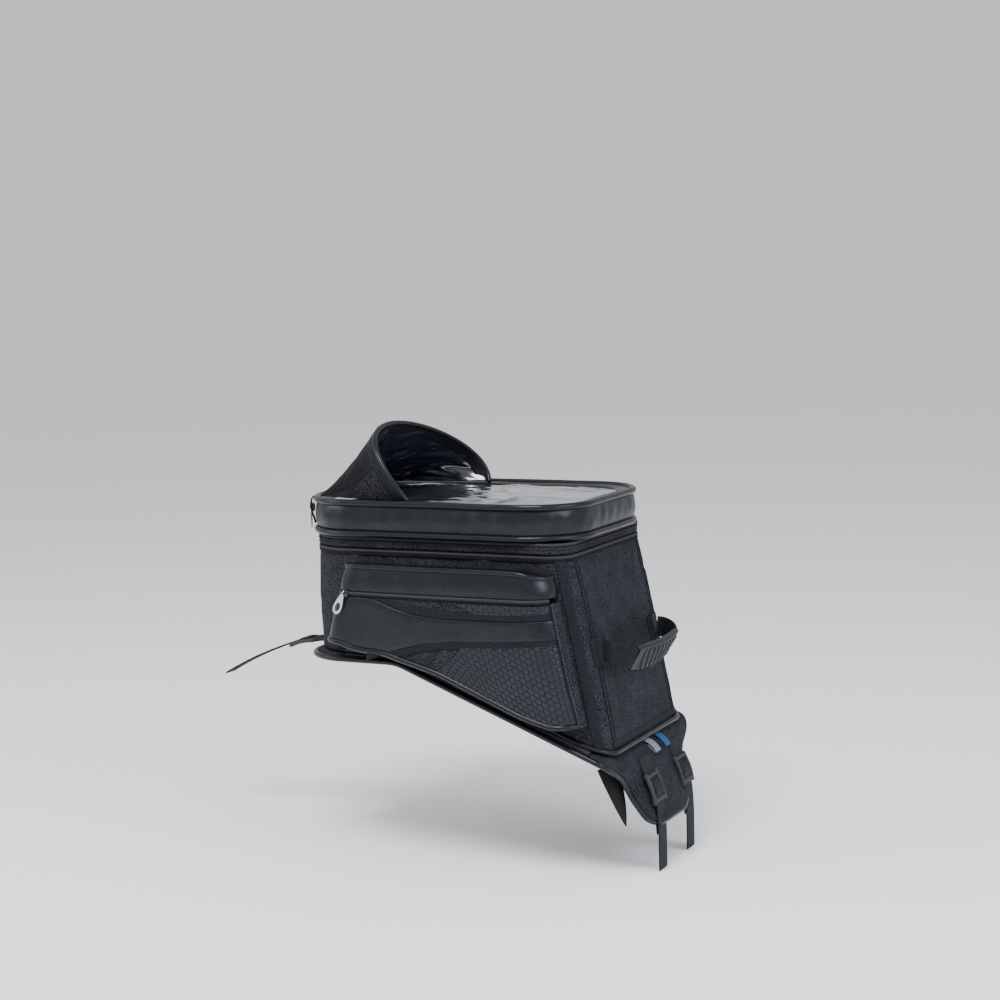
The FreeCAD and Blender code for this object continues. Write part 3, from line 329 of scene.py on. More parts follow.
def surface_object(name, grid, material, around=False, across=False, poles=False, flip=False, inner=None,
                   wall=0.0, spare=None):
    """An object from grid (n, m, 3) in mm. Faces join neighbours and point along d/du x d/dv, or the other
    way with flip. around and across close the grid on itself; poles merges points that coincide; wall gives
    thickness inwards, lined with inner. The "cloth" map holds the running lengths along both ways, in mm."""
    nu, nv = grid.shape[:2]
    i, j = np.meshgrid(np.arange(nu - (not around)), np.arange(nv - (not across)), indexing="ij")
    corners = [(i, j), (i + 1, j), (i + 1, j + 1), (i, j + 1)]
    if flip:
        corners.reverse()
    faces = np.stack([(a % nu) * nv + b % nv for a, b in corners], -1).reshape(-1, 4)
    mesh = bpy.data.meshes.new(name)
    mesh.from_pydata((grid.reshape(-1, 3) * MM).tolist(), [], faces.tolist())
    full = np.concatenate([grid, grid[:1]], 0) if around else grid
    full = np.concatenate([full, full[:, :1]], 1) if across else full
    middle = full[:, full.shape[1] // 2]
    u = np.broadcast_to(lengths(middle[:, None], 0), full.shape[:2])
    v = lengths(full, 1)
    flat = np.stack([np.stack([u[a, b], v[a, b]], -1) for a, b in corners], 2).reshape(-1, 2)
    mesh.uv_layers.new(name="cloth").uv.foreach_set("vector", flat.astype(np.float32).ravel())
    for key, values in (spare or {}).items():
        mesh.attributes.new(key, "FLOAT", "POINT").data.foreach_set("value",
                                                                    values.astype(np.float32).ravel())
    return object_from(mesh, name, material, poles, inner, wall)


def object_from(mesh, name, material, poles=False, inner=None, wall=0.0):
    """The mesh as a smooth-shaded object, with coinciding points merged and a wall if asked for."""
    if poles:
        bm = bmesh.new()
        bm.from_mesh(mesh)
        bmesh.ops.remove_doubles(bm, verts=bm.verts, dist=0.01 * MM)
        bm.to_mesh(mesh)
        bm.free()
    mesh.shade_smooth()
    mesh.materials.append(material)
    made = bpy.data.objects.new(name, mesh)
    bpy.context.scene.collection.objects.link(made)
    if wall:
        thick = made.modifiers.new("wall", "SOLIDIFY")
        thick.thickness, thick.offset, thick.use_quality_normals = wall * MM, -1, True
        if inner:
            mesh.materials.append(inner)
            thick.material_offset = 1
    return made


def repeated(name, points, faces, places, axes, material):
    """Copies of a small closed shape, all in one mesh: points (k, 3) in mm turned into axes (n, 3, 3), whose
    rows are each copy's own X, Y and Z, and moved to places (n, 3)."""
    spots = np.einsum("kc,ncd->nkd", points, axes) + places[:, None]
    index = np.array(faces)[None] + np.arange(len(places))[:, None, None] * len(points)
    mesh = bpy.data.meshes.new(name)
    mesh.from_pydata((spots.reshape(-1, 3) * MM).tolist(), [], index.reshape(-1, len(faces[0])).tolist())
    mesh.uv_layers.new(name="cloth")
    return object_from(mesh, name, material)


def frames(path, up, closed=False):
    """Unit tangent, side and up' along a path: side = tangent x up, up' = side x tangent."""
    if closed:
        tangent = np.roll(path, -1, 0) - np.roll(path, 1, 0)
    else:
        tangent = np.gradient(path, axis=0)
    tangent = tangent / np.linalg.norm(tangent, axis=-1, keepdims=True)
    side = np.cross(tangent, up)
    side = side / np.linalg.norm(side, axis=-1, keepdims=True)
    return tangent, side, np.cross(side, tangent)


def swept(path, section, up=(0.0, 0.0, 1.0), closed=False, round_ends=0.0):
    """A section (m, 2) of side and up' distances carried along a path. Round ends add rings that shrink as a
    quarter circle of that radius does."""
    path = np.asarray(path, float)
    up = np.broadcast_to(np.asarray(up, float), path.shape)
    tangent, side, rise = frames(path, up, closed)
    scale = np.ones(len(path))
    if round_ends:
        a = np.linspace(0, np.pi / 2, 5)
        lead, trail = path[0] - tangent[0] * (round_ends * np.cos(a))[:, None], path[-1] + tangent[-1] * (
            round_ends * np.cos(a[::-1]))[:, None]
        path = np.concatenate([lead[:-1], path, trail[1:]])
        side = np.concatenate([np.repeat(side[:1], 4, 0), side, np.repeat(side[-1:], 4, 0)])
        rise = np.concatenate([np.repeat(rise[:1], 4, 0), rise, np.repeat(rise[-1:], 4, 0)])
        scale = np.concatenate([np.sin(a)[:-1], scale, np.sin(a[::-1])[1:]])
    section = np.asarray(section, float)
    if section.ndim == 2:
        section = np.broadcast_to(section, (len(path),) + section.shape)
    across, high = section[..., 0] * scale[:, None], section[..., 1] * scale[:, None]
    return path[:, None] + side[:, None] * across[..., None] + rise[:, None] * high[..., None]


def circle(radius, count=14):
    """A round section, counter-clockwise seen along the path."""
    a = np.arange(count) * 2 * np.pi / count
    return np.stack([np.cos(a), np.sin(a)], -1) * radius


def band(wide, thick, count=20, power=5.0):
    """A flat band's closed section: |x / w| ** power + |y / t| ** power = 1."""
    a = np.arange(count) * 2 * np.pi / count
    c, s = np.cos(a), np.sin(a)
    return np.stack([np.sign(c) * np.abs(c) ** (2 / power) * wide / 2,
                     np.sign(s) * np.abs(s) ** (2 / power) * thick / 2], -1)


def even(points, step, closed=False):
    """The polyline through points, resampled at even steps of length."""
    p = np.asarray(points, float)
    if closed:
        p = np.concatenate([p, p[:1]])
    run = np.r_[0, np.cumsum(np.linalg.norm(np.diff(p, axis=0), axis=1))]
    count = max(3, int(round(run[-1] / step)))
    at = np.linspace(0, run[-1], count, endpoint=not closed)
    return np.stack([np.interp(at, run, p[:, k]) for k in range(p.shape[1])], -1)


def smooth_path(points, step=2.0, rounds=3):
    """A polyline rounded by cutting its corners a quarter along each side, rounds times, then made even."""
    p = np.asarray(points, float)
    for _ in range(rounds):
        a, b = p[:-1], p[1:]
        p = np.concatenate([p[:1], np.stack([a * 0.75 + b * 0.25, a * 0.25 + b * 0.75],
                                            1).reshape(-1, p.shape[1]),
                            p[-1:]])
    return even(p, step)


def ring(half, front, rear, r_front, r_rear, count):
    """A rounded rectangle seen from above, in even steps counter-clockwise from its front's middle, with its
    outward normals: straight sides joined by quarter circles."""
    corners = [(-half + r_front, front - r_front, r_front, 90), (-half + r_rear, rear + r_rear, r_rear,
                                                                 180),
               (half - r_rear, rear + r_rear, r_rear, 270), (half - r_front, front - r_front, r_front, 0)]
    outline = [np.array([[0.0, front]])]
    for x, y, r, start in corners:
        a = np.radians(start + np.linspace(0, 90, 61))
        outline.append(np.stack([x + r * np.cos(a), y + r * np.sin(a)], -1))
    p = even(np.concatenate(outline), 1.0, closed=True)
    run = np.linspace(0, len(p), count, endpoint=False)
    p = np.stack([np.interp(run, np.arange(len(p) + 1), np.r_[p[:, k], p[0, k]]) for k in (0, 1)], -1)
    t = np.roll(p, -1, 0) - np.roll(p, 1, 0)
    n = np.stack([t[:, 1], -t[:, 0]], -1)
    return p, n / np.linalg.norm(n, axis=1, keepdims=True)


def waves(a, b, seed, finest, coarsest, count=10, turn=None):
    """Soft cloth creases, about -1 to 1: sines of mixed lengths and directions, the long ones the taller."""
    draw = np.random.default_rng(seed)
    length = np.exp(draw.uniform(np.log(finest), np.log(coarsest), count))
    way = draw.uniform(0, np.pi, count) if turn is None else draw.normal(turn, 0.35, count)
    phase = draw.uniform(0, 2 * np.pi, count)
    size = np.sqrt(length / coarsest)
    a, b = np.asarray(a)[..., None], np.asarray(b)[..., None]
    travel = (a * np.cos(way) + b * np.sin(way)) * 2 * np.pi / length
    return (np.sin(travel + phase) * size).sum(-1) / np.sqrt((size ** 2).sum() / 2) / 2


def ease(x):
    """0 below 0, 1 above 1, and 3x^2 - 2x^3 between."""
    x = np.clip(x, 0, 1)
    return x * x * (3 - 2 * x)


def place(obj, body, slot, *nodes):
    """The piece moves with a body and stands for CAD nodes. Its slot argument is not used."""
    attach(obj, body)
    if nodes:
        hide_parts(*nodes)
    return obj


def spread(ways, count):
    """A direction for each of count spots: the same one for all, or rows spread evenly over them."""
    ways = np.asarray(ways, float)
    if ways.ndim == 1:
        return np.broadcast_to(ways, (count, 3))
    run, old = np.linspace(0, 1, count), np.linspace(0, 1, len(ways))
    return np.stack([np.interp(run, old, ways[:, k]) for k in range(3)], -1)


def softened(points, at, reach):
    """Heights at even places of a line through points (place, height), softened by a Hann window that reaches
    that many places each way."""
    spots = np.array(sorted(points))
    rough = np.interp(at, spots[:, 0], spots[:, 1])
    window = np.hanning(2 * reach + 1)
    return np.convolve(np.pad(rough, reach, mode="edge"), window / window.sum(), mode="valid")


def sewn_line(points, count):
    """A sewn edge as a function of y: the line through its points, softened at their corners."""
    at = np.linspace(min(points)[0], max(points)[0], count)
    heights = softened(points, at, 12)
    return lambda y: np.interp(y, at, heights)


def level(way):
    """Plan directions as directions in space."""
    return np.c_[way, np.zeros(len(way))]


STITCH = (np.array([[-1.1, 0, 0], [-.55, -.28, .12], [-.55, .28, .12], [-.55, 0, .5], [.55, -.28, .12],
                    [.55, .28, .12], [.55, 0, .5], [1.1, 0, 0]]),
          [(0, 2, 1), (0, 1, 3), (0, 3, 2), (1, 2, 5), (1, 5, 4), (2, 3, 6), (2, 6, 5), (3, 1, 4),
           (3, 4, 6),
           (7, 4, 5), (7, 6, 4), (7, 5, 6)])


def stitched(name, path, out, pitch, material, size=1.0):
    """A row of stitches along a path: each a flat spindle, lying on the path and rising along out."""
    spots = even(path, pitch)
    tangent, side, up = frames(spots, spread(out, len(spots)))
    axes = np.stack([tangent, -side, up], 1)
    return repeated(name, STITCH[0] * size, STITCH[1], spots, axes, material)


# ---------------------------------------------------------------- the bag's body
def floor_z(y):
    """Height of the bag's floor: level in front of the break, falling behind it, joined by a hyperbola."""
    s = np.asarray(y, float) - FLOOR_BREAK
    return FLOOR_RISE - (np.sqrt(s * s + FLOOR_BEND ** 2) - s) / 2 * FLOOR_FALL


def leaned(y0, z):
    """Where a top-edge position y0 goes at height z: the plan stretches backwards as the rear wall leans."""
    deep = BODY_FRONT - BODY_REAR
    return BODY_FRONT - (BODY_FRONT - y0) * (deep + (BODY_TOP - z) * REAR_LEAN) / deep


def wall_foot(y0):
    """Height where the wall from y0 meets the floor: the fixed point of z = floor(lean(y0, z))."""
    low = floor_z(y0)
    for _ in range(6):
        low = floor_z(leaned(y0, low))
    return low


def wall_at(xy, n, z, out=0.0):
    """A point of the bag's wall at height z: the leaned plan, swollen between its edges by a sine of the
    height and a quartic of the panel's width, creased by soft waves, then moved out along its normal."""
    x0, y0 = xy[..., 0], xy[..., 1]
    sizes = bpy.context.scene.bag_body
    low = wall_foot(y0)
    t = np.clip((z - low) / (BODY_TOP - low), 0, 1)
    along = 1 - np.abs((y0 - (BODY_FRONT + BODY_REAR) / 2) / ((BODY_FRONT - BODY_REAR) / 2)) ** 4
    wide = 1 - np.abs(x0 / BODY_HALF) ** 4
    panel = n[..., 0] ** 2 * along + n[..., 1] ** 2 * wide
    swell = sizes.swell / MM * np.sin(np.pi * t) * panel
    girth = np.where(np.abs(n[..., 0]) > 0.7, y0, x0)
    crease = sizes.crease / MM * waves(girth, z, 11, 18, 90,
                                       12) * np.sqrt(np.clip(panel, 0, 1)) * (0.35 + t)
    move = out + swell + crease
    y = leaned(y0, z)
    return np.stack(np.broadcast_arrays(x0 + n[..., 0] * move, y + n[..., 1] * move, z), -1)


def body_ring(count):
    return ring(BODY_HALF, BODY_FRONT, BODY_REAR, BODY_CORNER, BODY_ROUND, count)


def rear_strip(x0, x1, z0, z1, out, nx=24, nz=24):
    """A patch on the rear wall and its round corners between two sides and two heights, each a number or an
    array of nz values: past the straight part the plan is the corner's circle."""
    s, t = np.linspace(0, 1, nx)[:, None], np.linspace(0, 1, nz)[None]
    z = z0 + (z1 - z0) * t + 0 * s
    x = x0 + (x1 - x0) * s + 0 * t
    over = np.clip(np.abs(x) - BODY_HALF + BODY_ROUND, 0, 0.98 * BODY_ROUND) / BODY_ROUND
    deep = np.sqrt(1 - over ** 2)
    xy = np.stack([x, BODY_REAR + BODY_ROUND * (1 - deep)], -1)
    n = np.stack([np.sign(x) * over, -deep], -1)
    return wall_at(xy, n, z, out)


class BodySizes(bpy.types.PropertyGroup):
    """Softness of the bag's walls."""
    swell: FloatProperty(name="Wall swell", description="How far a wall bellies out at its middle",
                         default=0.0024, unit="LENGTH")
    crease: FloatProperty(name="Crease height", description="Height of the soft creases in the walls",
                          default=0.0009, unit="LENGTH")
    binding: FloatProperty(name="Corner binding width",
                           description="Width of the tape over each rear corner",
                           default=0.0115, unit="LENGTH")
    piping: FloatProperty(name="Piping diameter", description="Diameter of the corded seams",
                          default=0.0062, unit="LENGTH")


class BAG_OT_body(bpy.types.Operator):
    """Builds the bag's cloth body with its floor, corner bindings, rear seams and bottom piping"""
    bl_idname = "bag.body"
    bl_label = "Body"

    def execute(self, context):
        sizes = context.scene.bag_body
        xy, n = body_ring(380)
        low = wall_foot(xy[:, 1])[:, None]
        t = np.linspace(0, 1, 66)[None]
        z = low + (BODY_TOP - low) * t
        wall = wall_at(xy[:, None], n[:, None], z, -3.0 * (1 - ease(t / 0.03)))
        share = np.linspace(0, 1, 18)[None, :-1, None]
        rim = wall[:, :1]
        centre = np.array([0.0, (BODY_FRONT + BODY_REAR) / 2 - 10, 0.0])
        under = centre + (rim - centre) * share
        under[..., 2] = floor_z(under[..., 1])
        grid = np.concatenate([under, wall], 1)
        place(surface_object("body_cloth", grid, nylon_cloth(), around=True, poles=True, inner=lining(),
                             wall=3.0),
              "bag", "woven_cordura", "body_shell")

        cord = wall_at(xy, n, wall_foot(xy[:, 1]) + 4.4, 1.4)
        keep = cord[:, 1] < 8
        cord = cord[keep]
        tube = swept(even(cord, 2.5), circle(sizes.piping / MM / 2), round_ends=3.0)
        place(surface_object("bottom_piping", tube, cord_cloth(), across=True, poles=True), "bag",
              "cord_piping",
              "bottom_piping_left", "bottom_piping_right", "bottom_piping_rear")

        wide = sizes.binding / MM
        for side, tag in ((-1, "left"), (1, "right")):
            a = np.radians(222 if side < 0 else 318) + np.linspace(-0.5, 0.5, 9) * wide / BODY_ROUND
            spot = np.array([side * (BODY_HALF - BODY_ROUND),
                             BODY_REAR + BODY_ROUND]) + BODY_ROUND * np.stack(
                [np.cos(a), np.sin(a)], -1)
            way = np.stack([np.cos(a), np.sin(a)], -1)
            foot = wall_foot(spot[:, 1])[:, None] + 5
            heights = foot + (BODY_TOP - 1.5 - foot) * np.linspace(0, 1, 90)[None]
            crown = 0.9 + 0.5 * np.cos(np.linspace(-1, 1, 9) * np.pi / 2)[:, None]
            tape = wall_at(spot[:, None], way[:, None], heights, crown)
            place(surface_object("corner_binding_" + tag, tape, grosgrain(), wall=1.2), "bag",
                  "woven_cordura")
            for name, column, inset in (("outer", 0, 1), ("inner", -1, -1)):
                out = np.r_[way[column + inset], 0]
                place(stitched("binding_stitches_%s_%s" % (name, tag), tape[column + inset], out, 4.2,
                               black_thread()), "bag", "woven_cordura")
            for step, (inset, high) in enumerate(((26, 1.0), (33, 0.7))):
                x = side * (BODY_HALF - inset)
                rail = rear_strip(x - 1.4, x + 1.4, wall_foot(BODY_REAR) + 7, BODY_TOP - 3,
                                  high * np.sin(np.linspace(0, np.pi, 7))[:, None], 7, 90)
                place(surface_object("rear_seam_%s_%d" % (tag, step), rail, nylon_cloth_straight(),
                                     wall=0.8),
                      "bag", "woven_cordura")
        hem = rear_strip(-100, 100, wall_foot(BODY_REAR) + 9.5, wall_foot(BODY_REAR) + 17,
                         0.5 + 0.5 * np.sin(np.linspace(0, np.pi, 9))[None], 120, 9)
        place(surface_object("rear_hem", hem, grosgrain(), wall=1.0), "bag", "woven_cordura")
        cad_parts["bottom_board"].data.materials.clear()
        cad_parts["bottom_board"].data.materials.append(lining_plain())
        return {"FINISHED"}


def lining_plain():
    """Lining on a part with no cloth map: the same dull dark grey, drawn with a fine object-space grain."""
    return coated("lining_on_board", "#17181c", "#2b2d34", 0.7, 1.4, 0.4)


# ---------------------------------------------------------------- collar, zips round the bag
def around(offset, heights, out, count=420):
    """A ring of the bag's plan at each height, moved out by out: both arrays of m values."""
    xy, n = ring(BODY_HALF + offset, BODY_FRONT + offset, BODY_REAR - offset,
                 BODY_CORNER + offset, BODY_ROUND + offset, count)
    heights, out = np.asarray(heights, float), np.asarray(out, float)
    grid = np.empty((count, len(heights), 3))
    grid[..., 0] = xy[:, :1] + n[:, :1] * out
    grid[..., 1] = xy[:, 1:] + n[:, 1:] * out
    grid[..., 2] = heights
    return grid, n


def coil(path, out, width, high, pitch, name, material):
    """A zip's coil: a half-round ribbon whose height swings with a herringbone of the pitch:
    h = high * sqrt(1 - v^2) * (0.55 + 0.45 * cos(2 pi (s / pitch + |v| / 2)))."""
    spots = even(path, pitch / 4)
    _, side, up = frames(spots, spread(out, len(spots)))
    v = np.linspace(-1, 1, 9)
    s = np.arange(len(spots))[:, None] / 4.0
    tall = high * np.sqrt(np.clip(1 - v * v, 0,
                                  1)) * (0.55 + 0.45 * np.cos(2 * np.pi * (s + np.abs(v) / 2)))
    grid = spots[:, None] + side[:, None] * (v * width / 2)[None, :, None] + up[:, None] * tall[..., None]
    return surface_object(name, grid, material)


class BAG_OT_collar(bpy.types.Operator):
    """Builds the collar under the lid: cloth band, expansion zip, main zip and folded gusset"""
    bl_idname = "bag.collar"
    bl_label = "Collar"

    def execute(self, context):
        black = zip_cloth()
        z = np.array([126.5, 127.4, 129.2, 130.6, 131.6, 132.6, 133.4, 134.6, 135.8])
        out = np.array([0.0, 0.9, 1.2, 0.5, 0.1, 0.1, 0.1, 0.5, -1.5])
        grid, n = around(0, z, out)
        grid[..., 2] += 0.3 * waves(grid[..., 1] + 300 * np.sign(grid[..., 0]), grid[..., 0], 5, 40, 160)
        place(surface_object("expansion_zip_tape", grid, black, around=True, wall=1.0), "bag", "zip_tape",
              "expansion_zip")
        line, way = around(0, [132.6], [0.2])
        loop = np.concatenate([line[:, 0], line[:1, 0]])
        outward = level(np.concatenate([way, way[:1]]))
        place(coil(loop, outward, 3.4, 1.1, COIL_PITCH, "expansion_zip_coil", moulded_nylon()), "bag",
              "zip_tape")

        z = np.array([135.9, 136.5, 138.2, 140.0, 140.7, 141.4, 143.0, 144.3, 145.2])
        out = np.array([-2.5, 0.3, 1.1, 0.8, 0.2, 0.8, 1.1, 0.4, -2.2])
        grid, n = around(0, z, out)
        run = np.linspace(0, 1150, len(grid))[:, None]
        grid[..., :2] += n[:, None] * (0.5 * waves(run, grid[..., 2] * 3, 21, 25, 120))[..., None]
        place(surface_object("collar_cloth", grid, nylon_cloth(), around=True, wall=1.2, inner=lining()),
              "collar",
              "woven_cordura", "collar_band")
        z = np.array([144.6, 145.4, 146.4, 147.4, 148.3, 149.0])
        out = np.array([0.0, 0.5, 0.1, 0.1, 0.3, -1.5])
        grid, n = around(0, z, out)
        place(surface_object("main_zip_tape", grid, black, around=True, wall=0.8), "collar", "zip_tape",
              "main_zip")
        line, way = around(0, [146.9], [0.3])
        place(coil(np.concatenate([line[:, 0], line[:1, 0]]), level(way), 3.0, 1.0, COIL_PITCH,
                   "main_zip_coil", moulded_nylon()), "collar", "zip_tape")

        z = np.linspace(66.5, 136.2, 30)
        out = 1.6 * np.sin((z - 66) / 70 * np.pi * 5)
        grid, n = around(-5.5, z, out - 2.0, 300)
        run = np.linspace(0, 1100, len(grid))[:, None]
        grid[..., :2] += n[:, None] * (0.6 * waves(run, grid[..., 2], 8, 20, 90))[..., None]
        place(surface_object("gusset_cloth", grid, lining(), around=True, wall=1.0), "collar",
              "inner_lining",
              "gusset_skirt")
        for index, (height, reach) in enumerate(((137.2, 0.9), (143.2, 1.0))):
            line, way = around(0, [height], [reach + 0.2])
            place(stitched("collar_stitches_%d" % index, line[:, 0], level(way), SEAM_PITCH,
                           black_thread()), "collar", "woven_cordura")
        return {"FINISHED"}


# ---------------------------------------------------------------- lid, window and hood
def lid_ring(inset, count):
    """The lid's plan, drawn in by inset all round."""
    return ring(LID_HALF - inset, LID_MID + LID_DEEP - inset, LID_MID - LID_DEEP + inset,
                LID_CORNER - inset, LID_CORNER - inset, count)


class LidSizes(bpy.types.PropertyGroup):
    """The lid's band, pipings and clear window."""
    bulge: FloatProperty(name="Band bulge", description="How far the band stands out between its pipings",
                         default=0.0034, unit="LENGTH")
    piping: FloatProperty(name="Piping diameter", description="Diameter of the two corded seams",
                          default=0.0078, unit="LENGTH")
    window_crown: FloatProperty(name="Window crown", description="Rise of the clear window at its middle",
                                default=0.0035, unit="LENGTH")


class BAG_OT_lid(bpy.types.Operator):
    """Builds the lid: its padded band, two pipings, lining, top border and the clear map window"""
    bl_idname = "bag.lid"
    bl_label = "Lid"

    def execute(self, context):
        sizes = context.scene.bag_lid
        count = 460
        xy, n = lid_ring(0, count)
        run = np.linspace(0, 1050, count)[:, None]
        share = np.linspace(0, 1, 26)
        z = LID_LOW + 2.4 + (LID_TOP - LID_LOW - 4.8) * share
        out = sizes.bulge / MM * np.sin(np.pi * share) ** 0.6 - 1.2
        dents = 0.75 * waves(run, z[None] * 1.2, 31, 22, 95,
                             14) + 0.35 * waves(run, z[None] * 0.2, 4, 9, 24, 8)
        press = np.sin(np.pi * share)[None]
        move = out[None] + dents * press
        grid = np.stack(np.broadcast_arrays(xy[:, :1] + n[:, :1] * move, xy[:, 1:] + n[:, 1:] * move,
                                            z[None]), -1)
        place(surface_object("lid_band_cloth", grid, leathercloth(), around=True, wall=2.0, inner=lining()),
              "lid",
              "smooth_leathercloth", "lid_band")
        radius = sizes.piping / MM / 2
        for name, height, node, seed in (("lid_lower_cord", LID_LOW, "lid_lower_piping", 2),
                                         ("lid_top_cord", LID_TOP, "lid_top_piping", 3)):
            wander = 0.45 * waves(run[:, 0], run[:, 0] * 0, seed, 60, 260)
            path = np.c_[xy, height + wander]
            grid = swept(path, circle(radius, 18), closed=True)
            place(surface_object(name, grid, cord_cloth(), around=True, across=True), "lid", "cord_piping",
                  node)
        ring_in = [(2.0, 188.0), (4.5, 189.4), (8.0, 189.8), (14.0, 189.0), (19.0, 188.4), (20.5, 187.4)]
        rows = []
        for inset, height in ring_in:
            p, _ = lid_ring(inset, count)
            rows.append(np.c_[p, height + 0.3 * waves(run[:, 0], run[:, 0] * 0 + inset, 9, 50, 160)])
        place(surface_object("window_border", np.stack(rows, 1), leathercloth(), around=True, wall=0.9),
              "lid", "smooth_leathercloth", "map_window_frame")
        line, _ = lid_ring(17.0, count)
        place(stitched("window_stitches", np.c_[line, np.full(count, 188.9)], (0, 0, 1), SEAM_PITCH,
                       black_thread()), "lid", "smooth_leathercloth")

        rim, _ = lid_ring(16.5, 300)
        centre = np.array([0.0, LID_MID])
        k = np.linspace(1, 0, 90)[None, :, None]
        flat = centre + (rim[:, None] - centre) * k
        x, y = flat[..., 0], flat[..., 1]
        edge = ease((1 - k[..., 0]) / 0.16)
        height = 187.2 + sizes.window_crown / MM * (1 - k[..., 0] ** 2) + edge * (
            0.9 * waves(x, y, 17, 30, 140, 12) + 0.35 * waves(x, y * 0.6, 23, 9, 26, 10, 0.2))
        fold = y - (-150 + 24 * np.sin(x / 34.0) + 0.12 * x)
        height = height + edge * 2.4 * np.exp(-(fold / 4.5) ** 2) * ease((1.02 - np.abs(x) / 108) / 0.3)
        grid = np.stack([x, y, height], -1)
        place(surface_object("map_window_sheet", grid, vinyl("clear_pvc_window", "#161b20", "#2c343c", 0.12,
                                                             0.04),
                             around=True, poles=True, wall=0.5), "lid", "clear_vinyl", "map_window")
        under = [(1.0, 181.0), (8.0, 180.2), (30.0, 180.0)]
        rows = [np.c_[lid_ring(inset, 300)[0], np.full(300, height)] for inset, height in under]
        last = rows[-1]
        for k in np.linspace(0.85, 0, 6):
            rows.append(np.c_[centre + (last[:, :2] - centre) * k, np.full(300, 180.0)])
        rows = np.stack(rows, 1)
        rows[..., 2] += 0.8 * waves(rows[..., 0], rows[..., 1], 44, 30, 120)
        place(surface_object("lid_lining", rows, lining(), around=True, poles=True, flip=True, wall=2.5),
              "lid",
              "inner_lining", "lid_panel")
        return {"FINISHED"}


def arch(angle, inset=0.0):
    """The hood's mouth: a cubic curve through HOOD_POLES, from the left foot at pi to the right one at 0,
    on a plane that leans 25 degrees forward; its crown bows further out, most on the left."""
    t = 1 - np.asarray(angle, float)[..., None] / math.pi
    weights = (1 - t) ** 3, 3 * (1 - t) ** 2 * t, 3 * (1 - t) * t * t, t ** 3
    spot = sum(w * np.array(pole) for w, pole in zip(weights, HOOD_POLES)) * (1 - inset / 100)
    bow = np.sin(np.pi * t[..., 0]) * (35 - 40 * t[..., 0]) * (1 - inset / 100)
    lean = math.radians(25.3)
    return HOOD_FEET + np.stack([spot[..., 0], spot[..., 1] * math.sin(lean) + bow,
                                 spot[..., 1] * math.cos(lean)],
                                -1)


def sill(angle, inset=0.0):
    """The hood's low front arch on the lid."""
    wide, high = HOOD_HALF - 22 - inset, 9 - min(inset, 3)
    return HOOD_FRONT - np.array([0, inset, 0]) + wide * np.cos(angle)[..., None] * np.array([1.0, 0, 0]) + (
        high * np.sin(angle)[..., None] * np.array([0, 0, 1.0]))


def hood_cloth(angle, v, inset, seed, amount):
    """The hood's cloth, ruled from sill to mouth, with creases that die out at both ends. It dips between
    them as a sheet pulled from its ends does."""
    ruled = sill(angle, inset) * (1 - v)[..., None] + arch(angle, inset) * v[..., None]
    centre = np.stack([np.zeros_like(angle), ruled[..., 1], np.full_like(angle, HOOD_FEET[2])], -1)
    out = ruled - centre
    out = out / np.maximum(np.linalg.norm(out, axis=-1, keepdims=True), 1e-6)
    dip = np.sin(np.pi * v)
    move = amount * waves(angle * 95, v * 130, seed, 14, 70, 16, 0.5) * dip - 1.2 * dip
    return ruled + out * move[..., None]


class HoodSizes(bpy.types.PropertyGroup):
    """The map hood's cloth and mouth."""
    tape: FloatProperty(name="Mouth tape width",
                        description="Width of the tape sewn round the hood's mouth",
                        default=0.013, unit="LENGTH")
    cord: FloatProperty(name="Mouth cord diameter", description="Diameter of the bound edge of the mouth",
                        default=0.0062, unit="LENGTH")
    crumple: FloatProperty(name="Liner crumple",
                           description="Height of the creases in the hood's clear liner",
                           default=0.0022, unit="LENGTH")


